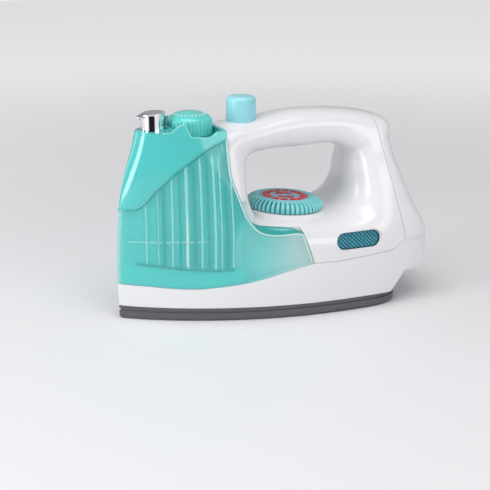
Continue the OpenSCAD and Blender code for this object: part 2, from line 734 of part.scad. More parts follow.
// Dial: a ribbed rim, a stepped face and a stem through the deck
stem_len = seat_depth + gap;
stem_bore = 3;
rib_shares = [[0, 0], [0.3, 0], [0.5, 1], [0.8, 1]];
function rib_outline(r, depth, n) = [for (i = [0 : n - 1]) for (s = rib_shares)
    let (a = 360 * (i + s[0]) / n, q = s[1] > 0 ? r - depth : r + over) [q * cos(a), q * sin(a)]];
rib_depth = 0.7;
label_t = 0.8;
ring_shares = [0.66, 0.74];
thread_d = 2.4;
module dial_knob() color("mediumturquoise") {
    r = dial_d / 2;
    rim = 0.16 * dial_t;
    round_w = 0.14 * dial_d;
    round_h = 0.66 * dial_t;
    on_dial() {
        difference() {
            intersection() {
                translate([0, 0, gap]) linear_extrude(dial_t) polygon(rib_outline(r, rib_depth, dial_ribs));
                translate([0, 0, gap]) rotate_extrude() polygon(concat([[0, 0], [r - rim, 0], [r, rim]],
                    [for (a = [0 : 15 : 90]) [r - round_w + round_w * cos(a),
                        dial_t - round_h + round_h * sin(a)]],
                    [[0, dial_t]]));
            }
            translate([0, 0, gap + dial_t - label_t]) cylinder(d = label_d + 2 * run_fit, h = dial_t);
            translate([0, 0, -over]) cylinder(d = thread_d, h = stem_bore + over);
            translate([0, 0, gap + dial_t - label_t / 2]) difference() {
                cylinder(d = ring_shares[1] * dial_d, h = dial_t);
                translate([0, 0, -over]) cylinder(d = ring_shares[0] * dial_d, h = dial_t + 2 * over);
            }
        }
        translate([0, 0, -stem_len]) difference() {
            cylinder(d = shaft_d, h = stem_len + gap);
            translate([0, 0, -over]) cylinder(d = thread_d, h = stem_len + 2 * over);
        }
    }
}
module dial_label() color("lightsteelblue") {
    on_dial() translate([0, 0, gap + dial_t - label_t]) cylinder(d = label_d, h = label_t);
}
wheel_d = 22;
wheel_t = 2.5;
click_depth = 0.6;
spring_t = 0.6;
spring_side = 4;
wheel_lap = 0.5;
function click_r(a) = wheel_d / 2 - click_depth + click_depth * cos(12 * a);
module click_wheel() color("white") {
    on_dial() translate([0, 0, -stem_len - wheel_t]) difference() {
        linear_extrude(wheel_t)
            polygon([for (a = [0 : 5 : 355]) [click_r(a) * cos(a), click_r(a) * sin(a)]]);
        translate([0, 0, -over]) cylinder(d = screw_d + 2 * run_fit, h = wheel_t + 2 * over);
    }
}
module dial_screw() color("silver") {
    on_dial() translate([0, 0, -stem_len - wheel_t]) rotate([180, 0, 0])
        screw(thread_d - 2 * run_fit, screw_head_d + 2 * wheel_lap, screw_head_t,
            wheel_t + stem_len + stem_bore - gap);
}
module click_spring() color("silver") {
    on_dial() translate([wheel_d / 2 + gap, -spring_side, -stem_len - wheel_t]) {
        cube([spring_t, 2 * spring_side, wheel_t]);
        translate([0, 2 * spring_side, 0]) cube([1.5 * spring_side, spring_t, wheel_t]);
        translate([1.5 * spring_side - spring_t, spring_side, 0])
            cube([spring_side, spring_side + spring_t, stem_len + wheel_t - seat_depth]);
    }
}

// The tank. Rows of height, nose, widest place and half width, as shares of the tank's height,
// the length and the skirt's half width, and how blunt the nose is.
tank_shares = [[0.128, 0.001, 0.675, 1, 1.1], [0.214, 0, 0.675, 1, 1.1], [0.342, 0.002, 0.675, 0.985, 1.1],
    [0.487, 0.006, 0.62, 0.93, 1.15], [0.65, 0.0156, 0.5, 0.76, 1.25], [0.786, 0.034, 0.4, 0.63, 1.5],
    [0.906, 0.056, 0.35, 0.535, 1.8], [1, 0.07, 0.31, 0.465, 2], [1.055, 0.08, 0.3, 0.42, 2]];
function tank_share(h, k) = lookup(h, [for (s = tank_shares) [s[0], s[k]]]);
function tank_rows(d, top) = let (end = min(top / tank_z, last(tank_shares)[0]))
    [for (h = concat([for (s = tank_shares) if (s[0] < end) s[0]], [end]))
        shrunk([h * tank_z, nose_x + tank_share(h, 1) * iron_len, nose_x + tank_share(h, 2) * iron_len,
            heel_x,
            tank_share(h, 3) * half_w, tank_share(h, 4)], d)];

// Top line of the tank: flat round the spray button, a parapet with a finger notch at the cap
well_z = tank_z - well_depth;
nozzle_rim = 1;
cap_x = post_front - 2 * gap - tank_wall - cap_d / 2;
nozzle_x = cap_x - cap_d / 2 - 2 * gap - run_fit - nozzle_rim - nozzle_d / 2;
top_shares = [[-1.5, 1], [-1.15, 1.004], [-0.89, 1.034], [-0.6, 1.042], [-0.39, 0.979], [0.44, 0.972],
    [0.76, 0.998], [1.15, 1.003]];
top_line = [for (s = top_shares) [cap_x + s[0] * cap_d / 2, s[1] * tank_z]];
// The edge of the hood, sweeping from the nose up to the back of the tank
hood_shares = [[-0.1, 0.596], [0.03, 0.602], [0.062, 0.62], [0.084, 0.66], [0.106, 0.712], [0.127, 0.748],
    [0.163, 0.808], [0.21, 0.87], [0.252, 0.918], [0.295, 0.952], [0.33, 0.975]];
hood_line = open_curve([for (s = hood_shares) [nose_x + s[0] * iron_len, s[1] * tank_z]], 2);
function but_last(p) = [for (i = [0 : len(p) - 2]) p[i]];
tank_zone = concat([[-far_x, parting_front[0][1] + gap]], moved(but_last(parting_front), 0, gap),
    [[wing_end[0] - 1.5 * gap, wing_end[1] + gap]], flip(moved(but_last(rear_edge), -gap, -gap)),
    [[-far_x, rear_edge[0][1]]]);
tank_hollow_zone = concat([[-far_x, -over], [foot_x - gap - tank_wall, -over]],
    flip(moved(rear_edge_up, -gap - tank_wall, 0)), [[-far_x, rear_edge_up[0][1]]]);
under_hood = concat([[-far_x, 0]], hood_line, [[far_x, last(hood_line)[1]], [far_x, 0]]);
over_hood = concat([[-far_x, far_z]], hood_line, [[far_x, last(hood_line)[1]], [far_x, far_z]]);

core_top = foot_z + 2 * tank_wall;
module nose_core() {
    intersection() {
        loft(hull_rows(wing_t));
        across(concat([[-far_x, 0]], moved(nose_deck, 0, gap), [[foot_x, core_top], [far_x, core_top],
            [far_x, 0]]));
    }
}
module tank_body() color("mediumturquoise", 0.7) {
    difference() {
        intersection() {
            loft(tank_rows(0, far_z));
            across(tank_zone);
            across(under_hood);
            across(below_rim);
        }
        intersection() {
            loft(tank_rows(tank_wall, far_z));
            across(tank_hollow_zone);
        }
        nose_core();
    }
}
// Everything under the clear tank's own top edge
rim_z = 0.99 * tank_z;
below_rim = [[-far_x, 0], [-far_x, rim_z], [far_x, rim_z], [far_x, 0]];
module tank_hood() color("mediumturquoise") {
    difference() {
        intersection() {
            loft(tank_rows(0, far_z));
            across(tank_zone);
            across(over_hood);
            across(concat([[-far_x, -over], [-far_x, tank_z]], top_line, [[far_x, last(top_line)[1]],
                [far_x, -over]]));
        }
        intersection() {
            loft(tank_rows(tank_wall, well_z - tank_wall));
            across(tank_hollow_zone);
        }
        intersection() {
            loft(tank_rows(tank_wall, far_z));
            across([[cap_x - cap_d / 2 - 2 * gap, well_z], [cap_x - cap_d / 2 - 2 * gap, far_z],
                [post_front - gap - tank_wall, far_z], [post_front - gap - tank_wall, well_z]]);
        }
        translate([nozzle_x, 0, well_z - 2 * tank_wall]) cylinder(d = nozzle_d + 2 * run_fit, h = far_z);
        translate([cap_x, 0, well_z - 2 * tank_wall]) cylinder(d = filler_d + 2 * run_fit, h = far_z);
    }
}
floor_end = foot_x - gap - tank_wall;
floor_line = concat([for (q = nose_deck) if (q[0] < floor_end - gap) q],
    [[floor_end, lookup(floor_end, nose_deck)]]);
module tank_floor() color("mediumturquoise") {
    intersection() {
        loft(tank_rows(tank_wall, far_z));
        across(concat(moved(floor_line, 0, gap), flip(moved(floor_line, 0, gap + tank_wall))));
        across(tank_hollow_zone);
    }
}

// Spray pump: a well for the button, a barrel, a foot with a nipple
pump_top = well_z - tank_wall;
barrel_wall = 1.2;
well_room = 8.5;
well_len = nozzle_travel + well_room;
nipple_len = 3;
tube_d = 4;
tube_bore = 2.4;
tube_fit = 0.2;
module pump_barrel() color("white") {
    r1 = nozzle_d / 2 + gap;
    r2 = pump_d / 2;
    foot = pump_top - pump_len;
    translate([nozzle_x, 0, 0]) rotate_extrude() polygon([
        [r1, pump_top], [r1 + barrel_wall, pump_top], [r1 + barrel_wall, pump_top - well_len],
        [r2, pump_top - well_len], [r2, foot], [tube_d / 2, foot], [tube_d / 2, foot - nipple_len],
        [tube_bore / 2, foot - nipple_len], [tube_bore / 2, foot + barrel_wall],
            [r2 - barrel_wall, foot + barrel_wall],
        [r2 - barrel_wall, pump_top - well_len + barrel_wall], [r1, pump_top - well_len + barrel_wall]]);
}
// It reaches down to just above the tank's floor
dip_low = lookup(nozzle_x, nose_deck) + gap + 2 * tank_wall;
dip_top = pump_top - pump_len - nipple_len;
module dip_tube() color("white") {
    translate([nozzle_x, 0, dip_low]) difference() {
        cylinder(d = tube_d - tube_fit, h = dip_top - dip_low);
        translate([0, 0, -over]) cylinder(d = tube_bore, h = dip_top - dip_low + 2 * over);
    }
}
piston_t = 4;
piston_z = pump_top - well_len - piston_t / 2;
stem_d = 5;
module pump_spring() color("silver") {
    foot = pump_top - pump_len + barrel_wall;
    translate([nozzle_x, 0, foot])
        coil(pump_d / 2 - barrel_wall - 1.2 * spring_wire, spring_wire, piston_z - piston_t - foot, 6);
}
module pump_piston() color("white") {
    head_d = pump_d - 2 * barrel_wall - 2 * run_fit;
    translate([nozzle_x, 0, piston_z - piston_t]) {
        cylinder(d = head_d, h = piston_t);
        cylinder(d = stem_d, h = tank_z - piston_z + piston_t);
    }
}
beak_d = [6, 3.4];
beak_len = 3.6;
beak_drop = 3.7;
beak_lean = 7;
lid_drop = [2, 1.8, 0.4];
module spray_nozzle() color("silver") {
    low = pump_top - 1.5 * tank_wall;
    high = tank_z + nozzle_h;
    difference() {
        intersection() {
            union() {
                translate([nozzle_x, 0, low]) cylinder(d = nozzle_d, h = high - low);
                translate([nozzle_x, 0, high - beak_drop]) rotate([0, -90 - beak_lean, 0])
                    cylinder(d1 = beak_d[0], d2 = beak_d[1], h = nozzle_d / 2 + beak_len);
            }
            across([[-far_x, 0], [-far_x, high - lid_drop[0]],
                [nozzle_x - nozzle_d / 2, high - lid_drop[1]],
                [nozzle_x, high], [nozzle_x + nozzle_d / 2, high - lid_drop[2]],
                    [far_x, high - lid_drop[2]], [far_x, 0]]);
        }
        translate([nozzle_x, 0, low - over])
            cylinder(d = nozzle_d - 2 * barrel_wall, h = tank_z - low + over);
    }
}

cap_ribs = 30;
cap_rib_depth = 0.5;
cap_wall = 2;
plug_wall = 1.5;
plug_reach = 1;
seal_t = 1.2;
module filler_cap() color("turquoise") {
    r = cap_d / 2;
    skirt_h = 0.55 * cap_h;
    plug_d = filler_d - 2 * plug_reach;
    translate([cap_x, 0, well_z]) {
        difference() {
            intersection() {
                rotate_extrude() polygon(concat([[0, gap], [r, gap], [r, skirt_h]],
                    [for (a = [15 : 15 : 90]) [r * cos(a), skirt_h + (cap_h - skirt_h) * sin(a)]]));
                linear_extrude(cap_h + over) polygon(rib_outline(r, cap_rib_depth, cap_ribs));
            }
            translate([0, 0, -over]) cylinder(d = cap_d - 2 * cap_wall, h = skirt_h + over);
        }
        translate([0, 0, -tank_wall - plug_reach]) difference() {
            cylinder(d = plug_d, h = tank_wall + plug_reach + skirt_h + over);
            translate([0, 0, -over]) cylinder(d = plug_d - 2 * plug_wall, h = tank_wall + skirt_h);
        }
    }
}
module cap_seal() color("dimgray") {
    translate([cap_x, 0, well_z + gap]) difference() {
        cylinder(d = filler_d + 2 * plug_wall, h = seal_t);
        translate([0, 0, -over])
            cylinder(d = filler_d - 2 * plug_reach + 2 * run_fit, h = seal_t + 2 * over);
    }
}

soleplate();
base_skirt();
left_shell();
right_shell();
rear_cover();
lamp_window_left();
lamp_window_right();
lamp_leds();
circuit_board();
speaker();
battery_box();
battery_cells();
battery_contacts();
battery_door();
base_screws();
shell_screws();
button_switch();
button_spring();
steam_button();
dial_knob();
dial_label();
click_wheel();
dial_screw();
click_spring();
tank_body();
tank_hood();
tank_floor();
pump_barrel();
pump_spring();
dip_tube();
spray_nozzle();
pump_piston();
filler_cap();
cap_seal();
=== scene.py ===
# %% [markdown]
# # A toy steam iron
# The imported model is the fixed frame: it knows where every piece is and how it moves. This lesson
# dresses it. A CAD solid has flat facets, and a moulded toy has none, so the big mouldings are made
# again here as fine numpy surfaces from the same sizes, and the small pieces keep their solids.
# %% The frame
import bmesh
import bpy
import numpy as np
from mathutils import Matrix, Vector


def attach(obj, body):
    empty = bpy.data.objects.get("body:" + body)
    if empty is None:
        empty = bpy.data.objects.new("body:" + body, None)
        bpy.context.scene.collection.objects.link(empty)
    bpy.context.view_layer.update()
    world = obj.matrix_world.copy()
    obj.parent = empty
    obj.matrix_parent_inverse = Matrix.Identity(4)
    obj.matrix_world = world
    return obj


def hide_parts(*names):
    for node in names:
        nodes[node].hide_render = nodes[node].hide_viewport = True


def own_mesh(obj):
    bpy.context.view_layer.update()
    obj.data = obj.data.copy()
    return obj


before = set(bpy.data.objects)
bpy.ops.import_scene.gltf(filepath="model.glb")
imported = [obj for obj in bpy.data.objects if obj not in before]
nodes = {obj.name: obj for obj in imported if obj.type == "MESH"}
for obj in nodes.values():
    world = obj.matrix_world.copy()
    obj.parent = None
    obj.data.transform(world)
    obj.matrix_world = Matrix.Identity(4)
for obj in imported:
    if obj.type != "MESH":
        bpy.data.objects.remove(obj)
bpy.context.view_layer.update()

# %% [markdown]
# ## Sizes
# These are the iron's own driving sizes in millimetres, the same as in its construction. Shares
# are of the length, the height or the width that they follow. They could be typed in where they are
# used, but one named value for each keeps the dressed pieces and the frame's solids the same size.
# %% Driving sizes
MM = 0.001
iron_len = 205.0
iron_w = 88.0
handle_z = 124.0
grip_w = 33.0
grip_t = 22.0
opening_len = 73.0
opening_front = 22.5
deck_z = 60.0
post_t = 15.0
wall = 2.2
tank_wall = 2.0
gap = 0.3
run_fit = 0.1
sole_t = 8.5
tank_z = 117.0
well_depth = 4.0
wing_t = 6.0
lift_lean = np.radians(27.0)
half_w = iron_w / 2
nose_x = -iron_len / 2
heel_x = iron_len / 2
open_front = -opening_front
open_h = handle_z - grip_t - deck_z
post_front = open_front - post_t
loop_len = heel_x - post_front
far = 2 * iron_len
wide_x = nose_x + 0.675 * iron_len
skirt_z = 46.0
hair = 0.12
seam = 0.25
part_gap = 0.14
weld = 0.004
sliver = 0.3
double = 0.002
flat_edge = 0.0005
under = -1
stern_power = 3.8
print("iron", iron_len, "by", iron_w, "mm, handle up to", handle_z)

# %% [markdown]
# ## From a formula to a mesh
# Every surface here is a grid of points worked out as whole arrays. A mesh could be built face by
# face in a loop, but Blender takes all points and corners at once, which is far quicker. One helper
# puts the arrays into a mesh, one makes the faces between rings of points, and one turns them out.
# %% Meshes from rings
def mesh_piece(name, points, faces):
    """An object from points in millimetres and a list of arrays of corner numbers, one array for
    each count of corners."""
    mesh = bpy.data.meshes.new(name)
    corners = np.concatenate([f.ravel() for f in faces])
    counts = np.concatenate([np.full(len(f), f.shape[1]) for f in faces])
    starts = np.concatenate([[0], np.cumsum(counts)[:-1]])
    mesh.vertices.add(len(points))
    mesh.vertices.foreach_set("co", (np.asarray(points, float) * MM).ravel())
    mesh.loops.add(len(corners))
    mesh.loops.foreach_set("vertex_index", corners.astype(np.int32))
    mesh.polygons.add(len(counts))
    mesh.polygons.foreach_set("loop_start", starts.astype(np.int32))
    mesh.update(calc_edges=True)
    mesh.validate()
    piece = bpy.data.objects.new(name, mesh)
    bpy.context.scene.collection.objects.link(piece)
    return piece


def ring_piece(name, rings, round_again=False):
    """A skin over rings of points: ring k and ring k + 1 are joined by quads. The ends are closed by
    flat faces, or the last ring is joined to the first."""
    m, n = rings.shape[:2]
    k = np.arange(m if round_again else m - 1)[:, None]
    i = np.arange(n)[None, :]
    j = (i + 1) % n
    up = (k + 1) % m
    quads = np.stack([k * n + i, k * n + j, up * n + j, up * n + i], -1).reshape(-1, 4)
    faces = [quads]
    if not round_again:
        faces.append(np.arange(n)[::-1][None, :])
        faces.append((np.arange(n) + (m - 1) * n)[None, :])
    piece = mesh_piece(name, rings.reshape(-1, 3), faces)
    return outward(piece)


def outward(piece):
    """Merges doubles and turns every face of a closed skin outwards."""
    bm = bmesh.new()
    bm.from_mesh(piece.data)
    bmesh.ops.remove_doubles(bm, verts=bm.verts, dist=double * MM)
    bmesh.ops.dissolve_degenerate(bm, edges=bm.edges, dist=flat_edge * MM)
    loose = [e for e in bm.edges if not e.link_faces]
    bmesh.ops.delete(bm, geom=loose, context="EDGES")
    bmesh.ops.recalc_face_normals(bm, faces=bm.faces)
    if bm.calc_volume(signed=True) < 0:
        bmesh.ops.reverse_faces(bm, faces=bm.faces)
    bm.to_mesh(piece.data)
    bm.free()
    return piece


# %% [markdown]
# Two ways lead from a flat line to a solid. An outline in the side view is carried across the iron,
# which makes the zones that the mouldings are cut by. A profile of radius and height is turned
# about an upright line, as on a lathe. Blender's Screw and Solidify modifiers could do both, but
# with a formula the number of points stays in hand and nothing has to be applied.
# %% Carried outlines and spun profiles
def across(outline, low=-far, high=far):
    """An outline in X and Z carried along Y from low to high."""
    flat = np.asarray(outline, float)
    ends = [np.stack([flat[:, 0], np.full(len(flat), y), flat[:, 1]], -1) for y in (low, high)]
    return ring_piece("cutter", np.array(ends))


def spin(name, profile, sides=96, at=(0, 0)):
    """A closed profile of radius and height turned about the vertical line at a point."""
    p = np.asarray(profile, float)
    a = np.linspace(0, 2 * np.pi, sides, endpoint=False)[:, None]
    rings = np.stack([at[0] + p[:, 0] * np.cos(a), at[1] + p[:, 0] * np.sin(a), p[:, 1] + 0 * a], -1)
    return ring_piece(name, rings, round_again=True)


# %% [markdown]
# ## Smooth lines
# The outlines are given by a few knots. They could be Bezier curves with handles to set. A
# Catmull-Rom curve needs no handles: it passes through every knot, and its formula runs on whole
# arrays, so a curve through points and one through the rows of a loft are the same function.
# %% Curves
def smooth_line(knots, steps, closed=False):
    """Catmull-Rom: between knots b and c, with a before and d after, the point at t is half of
    2b + (c - a)t + (2a - 5b + 4c - d)t^2 + (3b - a - 3c + d)t^3."""
    p = np.asarray(knots, float)
    n = len(p)
    i = np.arange(n if closed else n - 1)
    if closed:
        a, b, c, d = p[(i - 1) % n], p[i], p[(i + 1) % n], p[(i + 2) % n]
    else:
        a, b, c, d = p[np.maximum(i - 1, 0)], p[i], p[i + 1], p[np.minimum(i + 2, n - 1)]
    a, b, c, d = (v[:, None, :] for v in (a, b, c, d))
    t = (np.arange(steps) / steps)[None, :, None]
    line = 0.5 * (2 * b + (c - a) * t + (2 * a - 5 * b + 4 * c - d) * t**2
                  + (3 * b - a - 3 * c + d) * t**3)
    line = line.reshape(-1, p.shape[1])
    return line if closed else np.vstack([line, p[-1:]])


# %% [markdown]
# ## Cuts
# Where two mouldings meet, each is cut by the same line. The new edges could be worked out by hand,
# but between two curved skins that is long work. The Boolean modifier does it, its MANIFOLD solver
# is quick on closed skins, and it is applied at once, so that the finished piece is a plain mesh.
# %% Cuts and joints
def applied(piece):
    """Puts the result of a piece's modifiers into its mesh."""
    graph = bpy.context.evaluated_depsgraph_get()
    mesh = bpy.data.meshes.new_from_object(piece.evaluated_get(graph))
    old = piece.data
    piece.modifiers.clear()
    piece.data = mesh
    bpy.data.meshes.remove(old)
    return piece


def combine(piece, tool, how):
    """Joins, cuts or trims a piece by a closed tool, which is used up."""
    step = piece.modifiers.new("combine", "BOOLEAN")
    step.operation = how
    step.solver = "MANIFOLD"
    step.object = tool
    bpy.context.view_layer.update()
    applied(piece)
    bpy.data.objects.remove(tool)
    return piece


def cut(piece, tool):
    """Takes the tool's room away from a piece."""
    return combine(piece, tool, "DIFFERENCE")


def trim(piece, tool):
    """Keeps only what of a piece lies within the tool."""
    return combine(piece, tool, "INTERSECT")


def join(piece, tool):
    """Adds the tool to a piece."""
    return combine(piece, tool, "UNION")


def copy_of(piece, name="copy"):
    """A second object with its own copy of the mesh."""
    twin = bpy.data.objects.new(name, piece.data.copy())
    bpy.context.scene.collection.objects.link(twin)
    return twin


# %% [markdown]
# A cut leaves slivers: edges far shorter than any detail, and faces folded onto each other. They
# show as dark specks, and the skin isn't closed there. One piece could be mended by hand in Edit
# Mode. Here one function welds, closes and shades every moulding alike, and says what is left open.
# %% Mending after a cut
def moulded(piece, sharp=32.0):
    """Welds the slivers that a cut leaves, closes what that opens, and shades all but the sharp edges
    smooth."""
    bm = bmesh.new()
    bm.from_mesh(piece.data)
    bmesh.ops.triangulate(bm, faces=[f for f in bm.faces if len(f.verts) > 4])
    bmesh.ops.remove_doubles(bm, verts=bm.verts, dist=weld * MM)
    bmesh.ops.dissolve_degenerate(bm, edges=bm.edges, dist=weld / 2 * MM)
    for _ in range(5):
        bm.verts.index_update()
        seen = {}
        for face in bm.faces:
            seen.setdefault(frozenset(v.index for v in face.verts), []).append(face)
        folded = [f for faces in seen.values() if len(faces) > 1 for f in faces]
        bmesh.ops.delete(bm, geom=folded, context="FACES")
        bmesh.ops.holes_fill(bm, edges=[e for e in bm.edges if len(e.link_faces) == 1], sides=0)
        short = [e for e in bm.edges if len(e.link_faces) != 2 and e.calc_length() < sliver * MM]
        if short:
            bmesh.ops.collapse(bm, edges=short)
    bmesh.ops.triangulate(bm, faces=[f for f in bm.faces if len(f.verts) > 4])
    bmesh.ops.delete(bm, geom=[e for e in bm.edges if not e.link_faces], context="EDGES")
    bmesh.ops.delete(bm, geom=[v for v in bm.verts if not v.link_faces], context="VERTS")
    left = sum(len(e.link_faces) != 2 for e in bm.edges)
    bm.to_mesh(piece.data)
    bm.free()
    piece.data.shade_smooth()
    piece.data.set_sharp_from_angle(angle=np.radians(sharp))
    print(piece.name, "faces", len(piece.data.polygons), "edges without two faces", left)
    return piece


# %% [markdown]
# ## The hull
# Seen from above the iron is a boat: a pointed bow and a squared stern. It could be pushed into
# shape from a cube with Subdivision Surface. A formula for one ring and a smooth curve through a few
# rows gives the same soft form, and every wall inside it is the same hull drawn in by its thickness.
# %% Hull rows
def outline_ring(row, bow_steps=70, stern_steps=26):
    """A ring at height z. The bow is y = half * (1 - u^2)^(1/blunt), where u goes from 1 at the nose
    to 0 at the widest place. The stern is a superellipse: reach = (cos^n + sin^n)^(-1/n)."""
    z, nose, wide, heel, half, blunt = row
    a = np.linspace(0, np.pi / 2, bow_steps, endpoint=False)
    bow = np.stack([wide - (wide - nose) * np.cos(a), half * np.sin(a) ** (2 / blunt)], -1)
    b = np.linspace(np.pi / 2, 0, stern_steps + 1)
    reach = (np.cos(b) ** stern_power + np.sin(b) ** stern_power) ** (-1 / stern_power)
    stern = np.stack([wide + (heel - wide) * reach * np.cos(b), half * reach * np.sin(b)], -1)
    side = np.vstack([bow, stern])
    side[[0, -1], 1] = 0
    ring = np.vstack([side, (side * [1, -1])[-2:0:-1]])
    return np.column_stack([ring, np.full(len(ring), z)])


def inset_rows(rows, d):
    """The rows drawn in by d: the nose goes back, the heel goes forward and the half width shrinks."""
    return np.asarray(rows, float) + np.array([0, d, 0, -d, -d, 0])


def loft(name, rows, steps=10):
    """A closed skin through the rows' rings, with a smooth curve from row to row."""
    line = smooth_line(rows, steps) if steps > 1 else np.asarray(rows, float)
    return ring_piece(name, np.array([outline_ring(r) for r in line]))


hull_shares = [[0, 0.003, 0.945, 0.972], [0.17, 0.001, 0.97, 0.988], [0.34, 0.001, 0.99, 0.998],
               [0.6, 0, 1, 1], [1, 0.002, 1, 0.99], [1.55, 0.006, 1, 0.94], [1.9, 0.012, 1, 0.9]]
hull_blunt = 1.1
hull_rows = np.array([[sole_t + s[0] * (skirt_z - sole_t), nose_x + s[1] * iron_len, wide_x,
                       nose_x + s[2] * iron_len, s[3] * half_w, hull_blunt] for s in hull_shares])


def hull(inset=0.0, low=None):
    """The hull, drawn in by an inset, with more depth below where that is asked. The smooth curve is
    held within the iron's own length and width."""
    rows = hull_rows
    if low is not None:
        rows = np.vstack([[low, *hull_rows[0][1:]], hull_rows])
    rows = smooth_line(rows, 8)
    rows[:, 1] = np.maximum(rows[:, 1], nose_x)
    rows[:, 3:5] = np.minimum(rows[:, 3:5], [heel_x, half_w])
    return loft("hull", inset_rows(rows, inset), 1)


print("hull rows", len(hull_rows), "up to", hull_rows[-1][0].round(1))

# %% [markdown]
# From the side the mouldings meet along a few lines: the parting line between the skirt and the
# halves, the tank's rear edge, the nose deck under the tank and the seam of the rear cover. They
# could be drawn as Blender curves. As lists of shares they follow the iron's length and height, and
# the same line cuts both pieces that meet there.
# %% Lines in the side view
def scaled(shares, x0, sx, sz):
    """Points (x0 + share * sx, share * sz) in the side view."""
    return np.array([[x0 + s[0] * sx, s[1] * sz] for s in shares])


parting_shares = [[-0.05, 0.49], [0.07, 0.485], [0.16, 0.462], [0.24, 0.468], [0.366, 0.545],
                  [0.473, 0.67], [0.557, 0.754]]
parting_rear_shares = [[0.64, 0.752], [0.707, 0.77], [0.825, 0.812], [0.868, 0.945], [1.05, 0.965]]
parting_front = smooth_line(scaled(parting_shares, nose_x, iron_len, skirt_z), 10)
parting = np.vstack([parting_front, scaled(parting_rear_shares, nose_x, iron_len, skirt_z)])
wing_end = parting_front[-1]
foot_shares = [0.6, 0.564]
rear_edge_shares = [[0, 1.06], [0, 0.906], [0.032, 0.786], [0.264, 0.684], foot_shares,
                    [1.064, 0.491], [1.736, 0.468], [2.56, 0.47], [2.84, 0.463]]
rear_edge = smooth_line(scaled(rear_edge_shares, post_front, post_t, tank_z), 8)
rear_edge = np.vstack([rear_edge, wing_end[None]])
foot_x = post_front + foot_shares[0] * post_t
foot_z = foot_shares[1] * tank_z
rear_up = rear_edge[rear_edge[:, 1] > foot_z + 1]
rear_low = rear_edge[rear_edge[:, 1] <= foot_z + 1]
rise_low = np.array([nose_x + 0.827 * iron_len, sole_t])
rise_top = np.array([nose_x + 0.871 * iron_len, 0.48 * skirt_z])
rise_lean = (rise_top[0] - rise_low[0]) / (rise_top[1] - rise_low[1])


def heel_zone(d):
    """What lies under the heel, d further in: a slope behind the sole and a level underside."""
    top = rise_top + [-d * (np.hypot(1, rise_lean) - rise_lean), d]
    return np.array([[top[0] - rise_lean * (top[1] - under), under], top, [far, top[1]],
                     [far, under]])


nose_deck_shares = [[-0.05, 0.2], [0.06, 0.215], [0.16, 0.24], [0.235, 0.29], [0.3, 0.38],
                    [0.33, 0.46]]
nose_deck_knots = scaled(nose_deck_shares, nose_x, iron_len, tank_z)
nose_deck = smooth_line(np.vstack([nose_deck_knots, [[foot_x, foot_z]]]), 8)
seam_top = np.array([nose_x + 0.805 * iron_len, handle_z])
seam_foot = np.array([nose_x + 0.873 * iron_len, 0.82 * skirt_z])
seam_lean = (seam_foot[0] - seam_top[0]) / (seam_top[1] - seam_foot[1])


def seam_at(z):
    """How far back the rear cover's seam, a straight leaning line, is at a height."""
    return seam_top[0] + (seam_top[1] - z) * seam_lean


def parting_at(x):
    """The parting line's height at a place along the iron."""
    return np.interp(x, parting[:, 0], parting[:, 1])


seam_low = np.array([seam_at(parting_at(seam_foot[0])), parting_at(seam_foot[0])])
print("parting points", len(parting), "wing ends at", wing_end.round(1))

# %% [markdown]
# ## The white loop
# Handle, posts and deck are one loop round the finger opening. It could be a bent tube that is
# sculpted afterwards. Each section across the loop is a superellipse between an inner and an outer
# point instead, and the sections run round as a closed curve, so the deep fillets come by themselves.
# %% The loop
loop_shares = [
    [0.5, 0.965, 0.372, 1, 0, 2.5], [0.8, 0.98, 0.628, 0.985, 0.04, 2.6],
    [0.968, 0.886, 0.805, 0.935, 0.17, 2.7],
    [1, 0.76, 0.824, 0.845, 0.26, 2.6], [1.002, 0.6, 0.845, 0.74, 0.42, 2.6],
    [0.994, 0.318, 0.918, 0.53, 0.68, 2.8], [0.905, 0.06, 0.985, 0.29, 0.915, 3.4],
    [0.677, -0.016, 0.699, 0.065, 1, 3.8], [0.348, 0.023, 0.273, 0.065, 0.93, 3.8],
    [0.108, 0.055, -0.011, 0.13, 0.745, 3.2], [0.013, 0.27, -0.053, 0.484, 0.545, 2.8],
    [0, 0.61, -0.053, 0.726, 0.36, 2.6], [0.04, 0.88, -0.022, 0.928, 0.16, 2.5],
    [0.2, 0.955, 0.174, 0.969, 0.04, 2.5]]
loop_rows = np.array([[open_front + s[0] * opening_len, deck_z + s[1] * open_h,
                       post_front + s[2] * loop_len, s[3] * handle_z,
                       grip_w / 2 + s[4] * (half_w - grip_w / 2), s[5]] for s in loop_shares])


def loop(inset=0.0, steps=14, around=112, side=0):
    """Point at angle a of a section with power n: reach = (|cos|^n + |sin|^n)^(-1/n), then
    middle - arm * reach * cos in the side view and width * reach * sin across it. With a side of
    -1 or 1 only that half is made, closed on the middle plane by a strip of quads."""
    rows = smooth_line(loop_rows, steps, closed=True)[:, None, :]
    way, count = (np.pi, around // 2 + 1) if side else (2 * np.pi, around)
    a = np.linspace(0, way, count, endpoint=bool(side))[None, :]
    inner, outer = rows[..., 0:2], rows[..., 2:4]
    half, power = rows[..., 4], rows[..., 5]
    middle, arm = (inner + outer) / 2, (outer - inner) / 2
    length = np.linalg.norm(arm, axis=-1)
    reach = (np.abs(np.cos(a)) ** power + np.abs(np.sin(a)) ** power) ** (-1 / power)
    along = reach * np.cos(a) * (length - inset) / length
    flat = middle - arm * along[..., None]
    y = -(half - inset) * reach * np.sin(a)
    if side:
        y = side * np.maximum(np.abs(y), hair)
    return ring_piece("loop", np.stack([flat[..., 0], y, flat[..., 1]], -1), round_again=True)


overrun = 2


